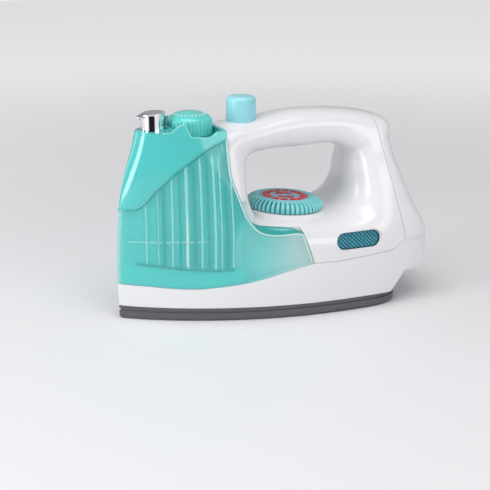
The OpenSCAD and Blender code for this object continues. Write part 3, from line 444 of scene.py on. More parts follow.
def shell_zone(d):
    """The halves' zone in the side view. With a wall d it is the inside's: it starts d further back
    and runs out through the open bottom and rear, so that no two cuts share a plane."""
    out = overrun if d else 0
    low = [q for q in parting if foot_x + d < q[0] < seam_low[0]]
    low = np.array(low) + [0, part_gap - out]
    return np.vstack([[rear_up[0][0] + d, far], rear_up + [d, 0], [foot_x + d, foot_z],
                      [foot_x + d, parting_at(foot_x + d) - out], low,
                      seam_low + [out - seam, part_gap - out], [seam_at(far) + out - seam, far]])


cover_zone = np.vstack([[seam_at(far) + seam, far], seam_low + [seam, 0],
                        parting[parting[:, 0] > seam_low[0]], [far, parting[-1][1]], [far, far]])
wing_zone = np.vstack([[foot_x - wall, foot_z + 1], rear_low, [wing_end[0], 0], [foot_x - wall, 0]])
lift_side = np.array([np.cos(lift_lean), np.sin(lift_lean)])
lift_reach = (rear_edge @ lift_side).max() + gap
sweep_low = 0.457 * tank_z
sweep_top = foot_z + 1.5 * wing_t


def sweep_at(z):
    """How far back the tank reaches at a height when it is lifted along its leaning line."""
    return (lift_reach - z * lift_side[1]) / lift_side[0]


sweep_zone = np.array([[foot_x - 2 * wall, sweep_low], [sweep_at(sweep_low), sweep_low],
                       [sweep_at(sweep_top), sweep_top], [foot_x - 2 * wall, sweep_top]])
print("loop rows", len(loop_rows), "lift reach", round(lift_reach, 2))

# %% [markdown]
# ## Left and right halves
# The two halves meet on the middle plane, where a hairline shows inside the opening. Each has the
# pocket for the tank's wing, the round seat of the dial, the button's hole and the lamp's window.
# They could be one piece with a painted seam, but a real gap catches light and shade by itself.
# %% Housing halves
dial_x = open_front + 0.436 * opening_len
dial_z = deck_z + 1
dial_tilt = np.radians(3.5)
dial_d = 49.5
dial_room = 1.0
shaft_r = 4.0
seat_r = dial_d / 2 + 0.9
seat_foot = seat_r + 10
seat_depth = 2 * wall + gap
button_x = open_front + 2
button_d = 18.5
lamp_x = wide_x + 6.3
lamp_z = skirt_z
lamp_y = 0.925 * half_w
lamp_lean = np.radians(9)
lamp_len = 30.0
lamp_h = 10.5
lamp_lip = 1.0
lip_sunk = 0.7
slot_low = -4.4
handle_low = 108.0


def placed(piece, turn, place):
    """Turns a piece by a matrix and moves it by millimetres, in its mesh."""
    piece.data.transform(Matrix.Translation(Vector(place) * MM) @ turn)
    piece.data.update()
    return piece


def on_dial(piece):
    """Puts a piece made at the origin on the dial's place, leaning as the dial does."""
    return placed(piece, Matrix.Rotation(dial_tilt, 4, "Y"), (dial_x, 0, dial_z))


def on_lamp(piece, side):
    """Stands a piece on the lamp's place. For the right side it is mirrored and turned outwards."""
    placed(piece, Matrix.Rotation(np.pi / 2 - lamp_lean, 4, "X"), (lamp_x, -lamp_y, lamp_z))
    if side > 0:
        piece.data.transform(Matrix.Scale(-1, 4, (0, 1, 0)))
        outward(piece)
    return piece


def slot_ends(length, height, steps):
    """The two half rounds of a slot: plus or minus half its straight part, and half its height times
    cos a and sin a."""
    a = np.concatenate([np.linspace(-np.pi / 2, np.pi / 2, steps),
                        np.linspace(np.pi / 2, 3 * np.pi / 2, steps)])
    ends = np.repeat([1, -1], steps) * (length - height) / 2
    return np.stack([ends + height / 2 * np.cos(a), height / 2 * np.sin(a)], -1)


def stadium(name, length, height, low, high, side=-1, steps=24):
    """A slot with round ends, standing on the lamp's place on one side of the iron."""
    flat = slot_ends(length, height, steps)
    rings = np.array([np.column_stack([flat, np.full(len(flat), z)]) for z in (low, high)])
    return on_lamp(ring_piece(name, rings), side)


def disc(r, low, high, x=0):
    """A round cutter that stands upright at a place on the middle line."""
    return spin("disc", [[0, low], [r, low], [r, high], [0, high]], at=(x, 0))


def box_cutter(low, high):
    """A box from its lowest to its highest corner."""
    x, y, z = zip(low, high)
    flat = np.array([[x[0], z[0]], [x[1], z[0]], [x[1], z[1]], [x[0], z[1]]])
    return across(flat, y[0], y[1])


def housing_half(name, side):
    """One half of the loop, cut by the tank's edge, the parting line and the rear seam."""
    keep = (-iron_w, -hair) if side < 0 else (hair, iron_w)
    shell = trim(loop(side=side), across(shell_zone(0)))
    seat = on_dial(spin("seat", [[0, -seat_depth], [seat_foot - 3, -seat_depth], [seat_r + 3.8, -2.4],
                                 [seat_r + 1.6, -0.9], [seat_r + 0.6, -0.25], [seat_r, 0], [0, 0]]))
    pocket = join(across(wing_zone), across(sweep_zone))
    cut(shell, cut(pocket, hull(wing_t + gap)))
    inside = trim(loop(wall, 8, 64), across(shell_zone(wall)))
    room = hull(wing_t + gap + wall, under)
    room = join(room, box_cutter((wing_end[0] + wall, -iron_w, 0), (far, iron_w, far)))
    room = join(room, box_cutter((-far, -iron_w, sweep_top + wall), (far, iron_w, far)))
    cut(shell, trim(inside, room))
    join(shell, trim(seat, box_cutter((-far, keep[0], -far), (far, keep[1], far))))
    cut(shell, on_dial(disc(shaft_r + run_fit, -deck_z / 2, 9)))
    cut(shell, on_dial(disc(dial_d / 2 + dial_room, 0, 14)))
    cut(shell, disc(button_d / 2 + run_fit, handle_low, far, button_x))
    cut(shell, stadium("slot", lamp_len + 2 * run_fit, lamp_h + 2 * run_fit, slot_low, half_w, side))
    cut(shell, stadium("lip", lamp_len + 2 * lamp_lip, lamp_h + 2 * lamp_lip, lip_sunk, half_w, side))
    shell.name = name
    return moulded(shell)


housing_left = housing_half("housing_left", -1)
housing_right = housing_half("housing_right", 1)

# %% [markdown]
# ## Rear cover
# The heel's cover is the rest of the same loop, behind a seam that leans back. It could be modelled
# on its own, but cut from the loop its surface runs on smoothly across the seam. A tongue, sunk by
# 0.6 mm, closes the gap, so that one looks onto plastic there and not into the iron.
# %% Rear cover
rear_cover = trim(loop(), across(cover_zone))
tongue_sunk = 0.6
tongue = np.array([[seam_at(far) - seam, far], seam_low - [seam, 0], seam_low + [overrun, 0],
                   [seam_at(far) + overrun, far]])
join(rear_cover, trim(loop(tongue_sunk), across(tongue)))
hollow = np.vstack([[seam_at(far) - overrun, far], seam_low - [overrun, 0], cover_zone[2:]])
cut(rear_cover, trim(loop(wall, 8, 64), across(hollow)))
rear_cover.name = "rear_casing"
moulded(rear_cover)

# %% [markdown]
# ## The skirt under them
# The skirt closes the hull below the parting line and carries the tank on a raised nose deck, which
# shows through the tinted tank. It is the hull trimmed by the lines above, hollowed by the same hull
# drawn in, and cut away under the heel. A scaled copy would give walls of uneven thickness.
# %% Skirt
heel_z = parting_at(heel_x)
skirt_top = np.vstack([parting[parting[:, 0] < heel_x], [heel_x, heel_z], [far, heel_z]])
skirt = trim(hull(), across(np.vstack([[-far, 0], skirt_top - [0, part_gap], [far, 0]])))
core = trim(hull(wing_t + gap), across(np.vstack([[-far, 0], nose_deck, [foot_x, 0]])))
join(skirt, core)
room_end = wing_end[0] + 1
under_deck = np.vstack([[-far, under], nose_deck - [0, wall], [room_end, foot_z - wall],
                        [room_end, under]])
room = trim(hull(wing_t + gap + wall, under), across(under_deck))
cut(skirt, room)
room = trim(hull(wall, under), box_cutter((wing_end[0], -iron_w, under), (far, iron_w, far)))
cut(skirt, cut(room, across(heel_zone(wall))))
cut(skirt, across(heel_zone(0)))
skirt.name = "skirt_moulding"
moulded(skirt)

# %% [markdown]
# ## The grey sole
# The sole is a stack of one outline, with a groove that runs round it and a thin lip at the table.
# Bevels on a flat plate would do for the rim. The stack makes the groove in the same step.
# %% Sole
sole_nose = nose_x + 0.002 * iron_len
sole_heel = nose_x + 0.884 * iron_len
sole_half = 0.965 * half_w
groove_z = 0.62 * sole_t
groove_h = 1.2
groove_d = 0.8
groove_top = groove_z + groove_h
lip_in = 1.2
edge = 0.35
sole_profile = [[0, lip_in + edge], [0.1, lip_in + 0.05], [0.35, lip_in], [0.9, lip_in], [1.0, 1.1],
                [1.1, 0.25], [1.25, 0.05], [1.5, 0], [groove_z - 0.3, 0], [groove_z - 0.08, 0.08],
                [groove_z, edge], [groove_z + 0.05, groove_d], [groove_top - 0.05, groove_d],
                [groove_top, edge], [groove_top + 0.08, 0.08], [groove_top + 0.3, 0],
                [sole_t - 0.3, 0], [sole_t - 0.08, 0.08], [sole_t, edge]]
sole_rows = [[z, sole_nose + d, wide_x, sole_heel - d, sole_half - d, hull_blunt]
             for z, d in sole_profile]
sole = loft("sole", sole_rows, 1)
print("sole rows", len(sole_rows), "groove from", round(groove_z, 2), "to", round(groove_top, 2))

# %% [markdown]
# From below the sole shows the battery door in its opening, five screw wells, the speaker's grille
# and two rows of shallow vents. They are cut as on the real moulding, and the door and the screws
# that lie in them are the frame's own solids. A bump would do for holes this small, but from below
# they are looked straight into, so they have real depth.
# %% Underside
speaker_x, speaker_r = -20.76, 11.0
door_x, door_half, door_side, door_depth = 30.28, 29.85, 16.9, 1.95
screw_r, screw_depth = 2.8, 4.0
grille_r, grille_depth = 1.3, 2.6
vent_r, vent_depth, vent_pitch = 1.6, 1.0, 9
screw_spots = [(-75.85, 0), (-4.315, 26.84), (-4.315, -26.84), (59.035, 26.84), (59.035, -26.84)]


def together(name, pieces):
    """One object from several: their points and faces are put in one mesh."""
    bm = bmesh.new()
    for part in pieces:
        bm.from_mesh(part.data)
        bpy.data.objects.remove(part)
    mesh = bpy.data.meshes.new(name)
    bm.to_mesh(mesh)
    bm.free()
    whole = bpy.data.objects.new(name, mesh)
    bpy.context.scene.collection.objects.link(whole)
    return whole


def holes(spots, r, depth):
    """Round cutters side by side, from under the sole up to a depth."""
    profile = [[0, under], [r, under], [r, depth], [0, depth]]
    return together("cutter", [spin("hole", profile, 32, q) for q in spots])


grille_rings = [(0, 1), (4.6, 6), (9.2, 12)]
grille = [(speaker_x + r * np.cos(a), r * np.sin(a)) for r, n in grille_rings
          for a in np.linspace(0, 2 * np.pi, n, endpoint=False)]
vents = [(screw_spots[0][0] + (k - 0.5) * vent_pitch, j * (5 + 2.6 * k))
         for k in range(1, 7) for j in (-1, 1)]
vents = [q for q in vents if np.hypot(q[0] - speaker_x, q[1]) > speaker_r + vent_r]
cut(sole, box_cutter((door_x - door_half - gap, -door_side - gap, under),
                     (door_x + door_half + gap, door_side + gap, door_depth)))
cut(sole, holes(screw_spots, screw_r, screw_depth))
cut(sole, holes(grille, grille_r, grille_depth))
cut(sole, holes(vents, vent_r, vent_depth))
moulded(sole)
print("grille holes", len(grille), "vents", len(vents))

# %% [markdown]
# ## The clear tank
# The tank is a tall loft that narrows to a flat top, on the same plan as the hull. Its body is clear
# and its hood is a second moulding, with a parapet round the filler cap. Its rows and lines come
# first, because body, hood, chamber and trim are all cut by them.
# %% Tank rows
tank_shares = [[0.128, 0.001, 0.675, 1, 1.1], [0.214, 0, 0.675, 1, 1.1],
               [0.342, 0.002, 0.675, 0.985, 1.1], [0.487, 0.006, 0.62, 0.93, 1.15],
               [0.65, 0.0156, 0.5, 0.76, 1.25], [0.786, 0.034, 0.4, 0.63, 1.5],
               [0.906, 0.056, 0.35, 0.535, 1.8], [1, 0.07, 0.31, 0.465, 2], [1.055, 0.08, 0.3, 0.42, 2]]
tank_knots = np.array([[s[0] * tank_z, nose_x + s[1] * iron_len, nose_x + s[2] * iron_len, heel_x,
                        s[3] * half_w, s[4]] for s in tank_shares])


def tank_form(inset=0.0, top=None, steps=8):
    """The tank's outer form, drawn in by an inset and cut level at a height."""
    rows = smooth_line(tank_knots, steps)
    if top is not None:
        level = np.array([np.interp(top, rows[:, 0], rows[:, k]) for k in range(6)])
        rows = np.vstack([rows[rows[:, 0] < top], level])
    return loft("tank_form", inset_rows(rows, inset), 1)


well_z = tank_z - well_depth
rim_z = 0.99 * tank_z
cap_d = 28.0
nozzle_d = 14.5
filler_d = 19.0
hole_low = 100.0
cap_x = post_front - 2 * gap - tank_wall - cap_d / 2
nozzle_x = cap_x - cap_d / 2 - 2 * gap - run_fit - 1 - nozzle_d / 2
top_shares = [[-1.5, 1], [-1.15, 1.004], [-0.89, 1.034], [-0.6, 1.042], [-0.39, 0.979], [0.44, 0.972],
              [0.76, 0.998], [1.15, 1.003]]
top_line = np.array([[cap_x + s[0] * cap_d / 2, s[1] * tank_z] for s in top_shares])
hood_shares = [[-0.1, 0.596], [0.03, 0.602], [0.062, 0.62], [0.084, 0.66], [0.106, 0.712],
               [0.127, 0.748], [0.163, 0.808], [0.21, 0.87], [0.252, 0.918], [0.295, 0.952],
               [0.33, 0.975]]
hood_line = smooth_line(scaled(hood_shares, nose_x, iron_len, tank_z), 8)
tank_zone = np.vstack([[-far, parting_front[0][1] + gap], parting_front[:-1] + [0, gap],
                       wing_end + [-1.5 * gap, gap], (rear_edge[:-1] - gap)[::-1],
                       [-far, rear_edge[0][1]]])
hollow_zone = np.vstack([[-far, under], [foot_x - gap - tank_wall, under],
                         (rear_up - [gap + tank_wall, 0])[::-1], [-far, rear_up[0][1]]])
under_hood = np.vstack([[-far, 0], hood_line, [far, hood_line[-1][1]], [far, 0]])
over_hood = np.vstack([[-far, far], hood_line, [far, hood_line[-1][1]], [far, far]])
print("cap at", round(cap_x, 2), "nozzle at", round(nozzle_x, 2), "hood line points", len(hood_line))

# %% [markdown]
# Body and hood are one form on the outside, parted by the hood's line. Each is hollowed by the same
# form drawn in by the wall, so that light passes two thin walls with the inside between them, as in
# the real tank. A solid block of clear plastic would look like ice. The wells for the cap and the
# nozzle and their holes are cut last.
# %% Tank body and hood
tank_outside = trim(tank_form(), across(tank_zone))
tank = trim(copy_of(tank_outside), across(under_hood))
cut(tank, trim(tank_form(tank_wall), across(hollow_zone)))
core_top = foot_z + 4
over_deck = np.vstack([[-far, 0], nose_deck + [0, gap], [foot_x, core_top], [far, core_top], [far, 0]])
nose_core = trim(hull(wing_t), across(over_deck))
cut(tank, nose_core)
tank.name = "water_tank"
moulded(tank)

hood = trim(tank_outside, across(over_hood))
under_top = np.vstack([[-far, under], [-far, tank_z], top_line, [far, top_line[-1][1]], [far, under]])
trim(hood, across(under_top))
cut(hood, trim(tank_form(tank_wall, well_z - tank_wall), across(hollow_zone)))
well_front = cap_x - cap_d / 2 - 2 * gap
well_back = post_front - gap - tank_wall
well = [[well_front, well_z], [well_front, far], [well_back, far], [well_back, well_z]]
cut(hood, trim(tank_form(tank_wall), across(well)))
cut(hood, disc(nozzle_d / 2 + run_fit, hole_low, far, nozzle_x))
cut(hood, disc(filler_d / 2 + run_fit, hole_low, far, cap_x))
hood.name = "tank_crown"
moulded(hood)

# %% [markdown]
# ## Along the tank's skin
# Trim has to lie on the tank's curved side. A Shrinkwrap modifier could press it on. The tank is a
# formula, so its half width at any place can be worked out instead, and a line in the side view
# becomes a path along one side, round the nose and back along the other.
# %% Lines on the tank
tank_lines = smooth_line(tank_knots, 8)
print("tank rows", len(tank_lines))


def tank_row(z):
    """The tank's row of height, nose, widest place, heel, half width and bluntness at a height."""
    return [np.interp(z, tank_lines[:, 0], tank_lines[:, k]) for k in range(6)]


def tank_side(x, z):
    """Half width of the tank at a place in the side view: the bow's formula ahead of the widest place
    and the stern's behind it."""
    _, nose, wide, heel, half, blunt = tank_row(z)
    u = np.clip((wide - x) / (wide - nose), 0, 1)
    v = np.clip((x - wide) / (heel - wide), 0, 1)
    return np.where(x < wide, half * (1 - u**2) ** (1 / blunt),
                    half * (1 - v**stern_power) ** (1 / stern_power))


def both_ways(line, inset):
    """A path on the tank's skin: the line on one side, round the nose and back on the other."""
    x, z = np.asarray(line, float).T
    nose = tank_row(z)[1]
    first = np.argmax(x > nose)
    share = (nose[first] - x[first - 1]) / (x[first] - x[first - 1])
    tip = [nose[first], z[first - 1] + share * (z[first] - z[first - 1])]
    x, z = np.append(tip[0], x[first:]), np.append(tip[1], z[first:])
    y = np.maximum(tank_side(x, z) - inset, 0)
    side = np.stack([x + inset * (x < nose[first] + 2), -y, z], -1)
    return np.vstack([side[::-1], (side * [1, -1, 1])[1:]])


def dense(line, count):
    """The same line with evenly spaced points."""
    p = np.asarray(line, float)
    run = np.append(0, np.cumsum(np.linalg.norm(np.diff(p, axis=0), axis=1)))
    t = np.linspace(0, run[-1], count)
    return np.stack([np.interp(t, run, p[:, k]) for k in range(p.shape[1])], -1)


# %% [markdown]
# On the real tank the hood ends in a rounded lip, and the clear wall looks paler along its rear edge,
# where one looks into its thickness. Both could be painted flat, but light bends over a real edge, so
# each is a thin bar carried along a line on the tank. Their colours are painted light too: the lip's
# darker teal is painted shade under the hood's edge, and the edge bars' pale teal a painted highlight.
# %% The hood's lip and the clear edges
def tube(name, path, radius, sides=14):
    """A round bar along a path: at each point the ring is centre + radius(cos b * out + sin b * up),
    where out and up stand square to the path."""
    p = np.asarray(path, float)
    run = np.gradient(p, axis=0)
    run /= np.linalg.norm(run, axis=1)[:, None]
    out = np.cross(run, [0.13, 0.31, 1.0])
    out /= np.linalg.norm(out, axis=1)[:, None]
    up = np.cross(run, out)
    b = np.linspace(0, 2 * np.pi, sides, endpoint=False)[None, :, None]
    thick = np.full(len(p), float(radius))
    thick[[0, -1]] *= 0.4
    rings = p[:, None] + thick[:, None, None] * (np.cos(b) * out[:, None] + np.sin(b) * up[:, None])
    return ring_piece(name, rings)


# The lip gets a darker teal: painted shade under the hood's edge.
lip_line = hood_line[hood_line[:, 0] < post_front - gap - 0.8]
lip_r = 0.75
lip_path = both_ways(dense(lip_line, 400) - [0, 0.5], 0.1)
lip = tube("hood_lip", dense(lip_path, 200), lip_r)
moulded(lip)
back_edge = dense(rear_edge[rear_edge[:, 1] < rim_z - 1] - [1.0, 0.9], 120)
back_edge = back_edge[back_edge[:, 1] > wing_end[1] + 1.6]
edge_y = tank_side(back_edge[:, 0], back_edge[:, 1]) - 0.2
edge_r = 0.55
# The edge bars get a pale teal: a painted highlight along the wall's rear edge.
bars = [tube("bar", np.stack([back_edge[:, 0], k * edge_y, back_edge[:, 1]], -1), edge_r)
        for k in (-1, 1)]
wall_edge_highlights = together("wall_edge_highlights", bars)
moulded(wall_edge_highlights)
print("lip from", lip_line[0].round(1), "to", lip_line[-1].round(1))

# %% [markdown]
# The shoulder joins the wing's outer edge to the handle's post. It rises as it goes in, and it is
# narrow at both ends, so its width and rise follow a sine along the edge. A plane bent by hand could
# stand there too. The formula keeps it on the tank's edge.
# %% Wing shoulders
def shoulder(side):
    """At share t along the wing's top edge and share s inwards, with w = sin(pi t)^0.6: in = 5.2 w s,
    forward = 2.6 w s and up = 4.6 w (1 - (1 - s)^2). A copy 1 mm lower closes it to a plate."""
    top = dense(rear_low[:-1] - [gap + 0.2, gap + 0.2], 60)
    t = np.linspace(0.02, 0.98, 60)[:, None]
    w = np.sin(np.pi * t) ** 0.6
    s = np.linspace(0, 1, 12)[None, :]
    x = top[:, :1] - 2.6 * w * s
    rise = top[:, 1:] + 4.6 * w * (1 - (1 - s) ** 2)
    y = tank_side(top[:, :1], top[:, 1:]) - 0.4 - 5.2 * w * s
    upper = np.stack([x, side * y, rise], -1)
    lower = np.stack([x, side * (y - 0.3), rise - 1.0], -1)[:, ::-1]
    return ring_piece("shoulder", np.concatenate([upper, lower], 1))


shoulders = together("wing_shoulders", [shoulder(-1), shoulder(1)])
moulded(shoulders)

# %% [markdown]
# The water chamber stands inside the clear wall. Its wall is a row of flutes, which show as bright
# and dark upright lines through the tank. A striped picture could stand in for them, but stripes
# don't shift against the wall as one walks round. The wall waves in and out by a sine. Thin bars at
# places given one by one stand for the light that real flutes gather: the pale bars are painted
# highlights and the dark bars painted shade.
# %% Fluted water chamber
chamber_back = -36.9
flute_pitch = 7.4
floor_line = np.array([[-120, 37.6], [-92, 36], [-65, 33.4], [-47, 32.6], [-30, 33.6]])
floor_high = floor_line + [0, 0.5]
chamber_top = 103
rib_in = 1.3


def chamber_side(x, z, inset, flute=0.0):
    """Half width of the chamber: the bow's formula drawn in by an inset, and once more by
    flute * |sin(pi x / pitch)|^0.7, where x runs along the iron. It is never under 0.3 mm."""
    _, nose, wide, _, half, blunt = tank_row(z)
    u = np.clip((wide - x) / (wide - nose - inset), 0, 1)
    wave = flute * np.abs(np.sin(np.pi * x / flute_pitch)) ** 0.7
    return np.maximum((half - inset) * (1 - u**2) ** (1 / blunt) - wave, 0.3)


def chamber_end(z):
    """The chamber's back wall stays ahead of the tank's own, which leans forward as it rises."""
    tank_back = np.interp(z, rear_up[::-1, 1], rear_up[::-1, 0]) - gap - tank_wall
    return min(chamber_back, tank_back - 0.4)


def chamber_form(inset, flute, low, high, back):
    """Rings at rising heights: out along one side of the chamber, flat behind and back again."""
    rings = []
    for z in np.linspace(low, high, 30):
        nose, back_x = tank_row(z)[1] + inset, chamber_end(z) - back
        x = nose + (back_x - nose) * (1 - np.cos(np.linspace(0, np.pi / 2, 260)))
        y = chamber_side(x, z, inset, flute)
        y[0] = 0
        side = np.stack([x, y], -1)
        ring = np.vstack([side, [[back_x, 0]], (side * [1, -1])[:0:-1]])
        rings.append(np.column_stack([ring, np.full(len(ring), z)]))
    return ring_piece("chamber", np.array(rings))


def side_path(x, z, inset):
    """A path along both sides of the chamber at an inset from the tank's skin."""
    return [np.stack([x, k * np.maximum(tank_side(x, z) - inset, 0.6), z], -1) for k in (-1, 1)]


above_floor = np.vstack([floor_high, [far, floor_high[-1][1]],
                         [far, chamber_top], [-120, chamber_top]])
chamber = trim(chamber_form(2.7, 1.7, 20, 110, 0), across(above_floor))
cut(chamber, chamber_form(3.5, 1.7, 16, 114, 0.8))
chamber.name = "water_chamber"
moulded(chamber, 40)


def upright(x, radius):
    """A thin bar from the floor line to the hood, along the chamber's wall, on each side."""
    low = np.interp(x, floor_line[:, 0], floor_line[:, 1]) + 0.4
    high = min(np.interp(x, hood_line[:, 0], hood_line[:, 1]) + 3, chamber_top)
    z = np.linspace(low, high, 30)
    y = np.array([chamber_side(x, h, rib_in) for h in z])
    return [tube("rib", np.stack([np.full(30, x), k * y, z], -1), radius, 10) for k in (-1, 1)]


def uprights(name, spots):
    """One piece from the upright bars at several places, each with its own radius."""
    return moulded(together(name, [bar for x, radius in spots for bar in upright(x, radius)]))


# Pale bars are painted highlights, dark bars painted shade.
chamber_highlight_bars = uprights("chamber_highlight_bars", [(-86, 0.5), (-79.6, 0.35), (-71.8, 0.65), (-63.6, 1.1),
                                         (-55.4, 0.75), (-47.8, 0.85), (-44.2, 0.45), (-37.6, 0.55)])
chamber_shades = uprights("chamber_shades", [(-76.6, 0.9), (-67.6, 0.5), (-59.4, 1.0), (-51.6, 0.7),
                                             (-41, 1.0)])
# The level line is a thin bar in the pale teal of a painted highlight.
level_x = np.linspace(-96, -50, 60)
level_z = 49.9 + 0.03 * (level_x + 94.5)
level_bars = [tube("rib", path, 0.45) for path in side_path(level_x, level_z, rib_in)]
level_highlight = moulded(together("level_highlight", level_bars))
floor_x = np.linspace(-92.5, -37, 80)
floor_z = np.interp(floor_x, floor_line[:, 0], floor_line[:, 1])
floor_bars = [tube("rib", path, 0.5) for path in side_path(floor_x, floor_z, 0.9)]
floor_seam = moulded(together("floor_seam", floor_bars))

# %% [markdown]
# Below the chamber the tank is a plain band of tinted plastic between its wall and the skirt's deck.
# It fills the slot there, so that light from above draws no streaks on the white behind it. A plain
# sheet would do in front, but the band has to look right from the nose and from below as well.
# %% Lower band
band_zone = np.vstack([parting_front[:-1] + [0, 2 * gap], [foot_x - 1.5, parting_at(foot_x) + 2 * gap],
                       [foot_x - 1.5, floor_line[-1][1]], (floor_line - [0, 0.1])[::-1]])
band_zone = band_zone[band_zone[:, 0] < foot_x - 1]
band = trim(tank_form(tank_wall + 0.15), across(band_zone))
cut(band, hull(wing_t - 0.2, under))
band.name = "lower_band"
moulded(band)

# %% [markdown]
# The hood's top edge is rounded over, which shows as a pale line round the crown. A Bevel would
# catch every edge of the hood. A thin bar along the top line rounds only this one, and its pale teal is
# a painted highlight.
# %% Crown rim
crown_line = dense(top_line[top_line[:, 0] < post_front - gap - 1.2] - [0, 0.35], 160)
crown_rim_highlight = tube("crown_rim_highlight", dense(both_ways(crown_line, 0.3), 260), 0.36, 12)
moulded(crown_rim_highlight)

# %% [markdown]
# ## Things that are turned or pressed
# The dial, the steam button and the filler cap are spun profiles. The button is the plainest: a
# flange that keeps it in the handle, a straight wall, a round corner and a slightly raised top. A
# cylinder with a Bevel is close, but the flange and the raised top come free with a profile.
# %% Steam button
board_t = 1.6
spring_h = 6.8
flange_t = 1.6
button_sunk = 2.4
button_h = 12.5
button_rise = 0.4
corner = 3.0
button_r = button_d / 2
flange_r = button_r + 1.5
flange_z = handle_z - grip_t + wall + board_t + spring_h
button_top = handle_z - button_sunk + button_h
quarter = np.linspace(0, np.pi / 2, 12)
button_round = np.stack([button_r - corner + corner * np.cos(quarter),
                         button_top - corner + corner * np.sin(quarter)], -1)
button_profile = np.vstack([[0, flange_z], [flange_r, flange_z], [flange_r, flange_z + flange_t],
                            [button_r, flange_z + flange_t], button_round,
                            [0, button_top + button_rise]])
button = spin("button_cap", button_profile, 128, (button_x, 0))
moulded(button)

# %% [markdown]
# Under the button, and in the pump, a coil spring pushes back. It is a round wire along a helix.
# When the button goes down its spring can't follow as a stiff piece, but here it is made as one.
# %% Springs
spring_wire = 0.9


def coil(name, x, low, high, r, turns):
    """A wire whose centre at angle t is (x + r cos t, r sin t), rising evenly from low to high."""
    t = np.linspace(0, 2 * np.pi * turns, 28 * turns + 1)
    rise = low + spring_wire / 2 + (high - low - spring_wire) * t / t[-1]
    path = np.stack([x + r * np.cos(t), r * np.sin(t), rise], -1)
    return moulded(tube(name, path, spring_wire / 2, 10))


button_ends, pump_ends = (105.86, 112.54), (70.26, 91.94)
button_coil = coil("button_coil", button_x, *button_ends, r=5.6, turns=3)
pump_coil = coil("pump_coil", nozzle_x, *pump_ends, r=3.72, turns=6)

# %% [markdown]
# The dial is a knob with 48 ribs round a rolled rim. The ribs could be copies of one bar set in a
# circle. Here they are a wave on the radius of a spun profile, because a moulded rib runs into the
# rim without a joint, and the whole knob stays one closed skin.
# %% Dial
dial_t = 7.0
dial_ribs = 48
label_d = 31.0
label_t = 0.8


def dial_body():
    """Rings of a profile of radius and height. On the rim the radius is multiplied by
    1 - 0.6 wave / radius and the height drops by 0.8 wave, where the wave is 3 cos(48 a) - 1.5
    held between 0 and 1."""
    r, foot_r = dial_d / 2, 1.1
    round_w, round_h = 0.14 * dial_d, 0.66 * dial_t
    a = np.linspace(0, 2 * np.pi, dial_ribs * 14, endpoint=False)[:, None]
    b = np.linspace(0, np.pi / 2, 18)
    c = np.linspace(-np.pi / 2, 0, 6)
    top = gap + dial_t
    foot = np.stack([r - foot_r + foot_r * np.cos(c), gap + foot_r + foot_r * np.sin(c)], -1)
    rolled = np.stack([r - round_w + round_w * np.cos(b), top - round_h + round_h * np.sin(b)], -1)
    recess_r = label_d / 2 + run_fit
    profile = np.vstack([[0, gap], foot, rolled, [0.712 * r, top - 0.05], [0.704 * r, top - 0.5],
                         [0.67 * r, top - 0.55], [0.662 * r, top - 0.05], [0.652 * r, top],
                         [recess_r, top], [recess_r, top - label_t], [0, top - label_t]])
    height = (profile[:, 1] - gap) / dial_t
    rim = np.clip((profile[:, 0] - 0.76 * r) / (0.06 * r), 0, 1) * np.clip(height * 8, 0, 1)
    wave = np.clip(np.cos(a * dial_ribs) * 3 - 1.5, 0, 1)
    squeeze = 1 - rim * wave * 0.6 / np.maximum(profile[:, 0], 1)
    drop = rim * wave * 0.8 * np.clip((profile[:, 1] - gap - 1.5) / 3, 0, 1)
    radius = profile[:, 0] * squeeze
    rings = np.stack([radius * np.cos(a), radius * np.sin(a), profile[:, 1] - drop], -1)
    return ring_piece("dial_moulding", rings, round_again=True)


dial = on_dial(dial_body())
moulded(dial, 60)

# %% [markdown]
# The dial's print is a red ring in seven parts round two curved arrows. On the toy it is a thin
# film. Here each part is a raised film of 0.08 mm with its own colour, so no picture is needed.
# The words of the toy give way to plain numbers.
# %% The dial's print
film = 0.08
film_sunk = 0.02
face_z = gap + dial_t
inner_r, outer_r = 9.9, 14.7


def arc_band(name, profile, start, stop, steps=40):
    """Part of a turned piece: the profile of radius and height, which may change along the arc, runs
    from one angle to another and is closed at both ends."""
    a = np.radians(np.linspace(start, stop, steps))[:, None]
    p = np.broadcast_to(np.asarray(profile, float), (steps, *np.shape(profile)[-2:]))
    return ring_piece(name, np.stack([p[..., 0] * np.cos(a), p[..., 0] * np.sin(a), p[..., 1]], -1))


def film_profile(low, high):
    """A flat strip of film from one radius to another, let into the label by 0.02 mm."""
    base = face_z - film_sunk
    return [[low, base], [high, base], [high, face_z + film], [low, face_z + film]]


parts = 7
turn = 360 / parts
part_rest = 3
ring_parts = [on_dial(arc_band("part", film_profile(inner_r, outer_r), k * turn + part_rest,
                               (k + 1) * turn - part_rest)) for k in range(parts)]
red_ring = together("red_ring", ring_parts)
arrow_r, arrow_half, head_half, head_share, arrow_turn = 5.6, 1.7, 3.6, 0.4, 125


def arrow(start):
    """A curved arrow: a band of even half width, which in the last share of its way goes from the
    head's half width to nothing."""
    t = np.linspace(0, 1, 44)
    half = np.where(t < 1 - head_share, arrow_half, head_half * (1 - t) / head_share + 0.02)
    low, high = arrow_r - half, arrow_r + half
    base = np.full_like(t, face_z - film_sunk)
    face = base + film + film_sunk
    corners = [[low, base], [high, base], [high, face], [low, face]]
    profile = np.stack([np.stack(c, -1) for c in corners], 1)
    return on_dial(arc_band("arrow", profile, start, start + arrow_turn, len(t)))


red_arrows = together("red_arrows", [arrow(20), arrow(200)])


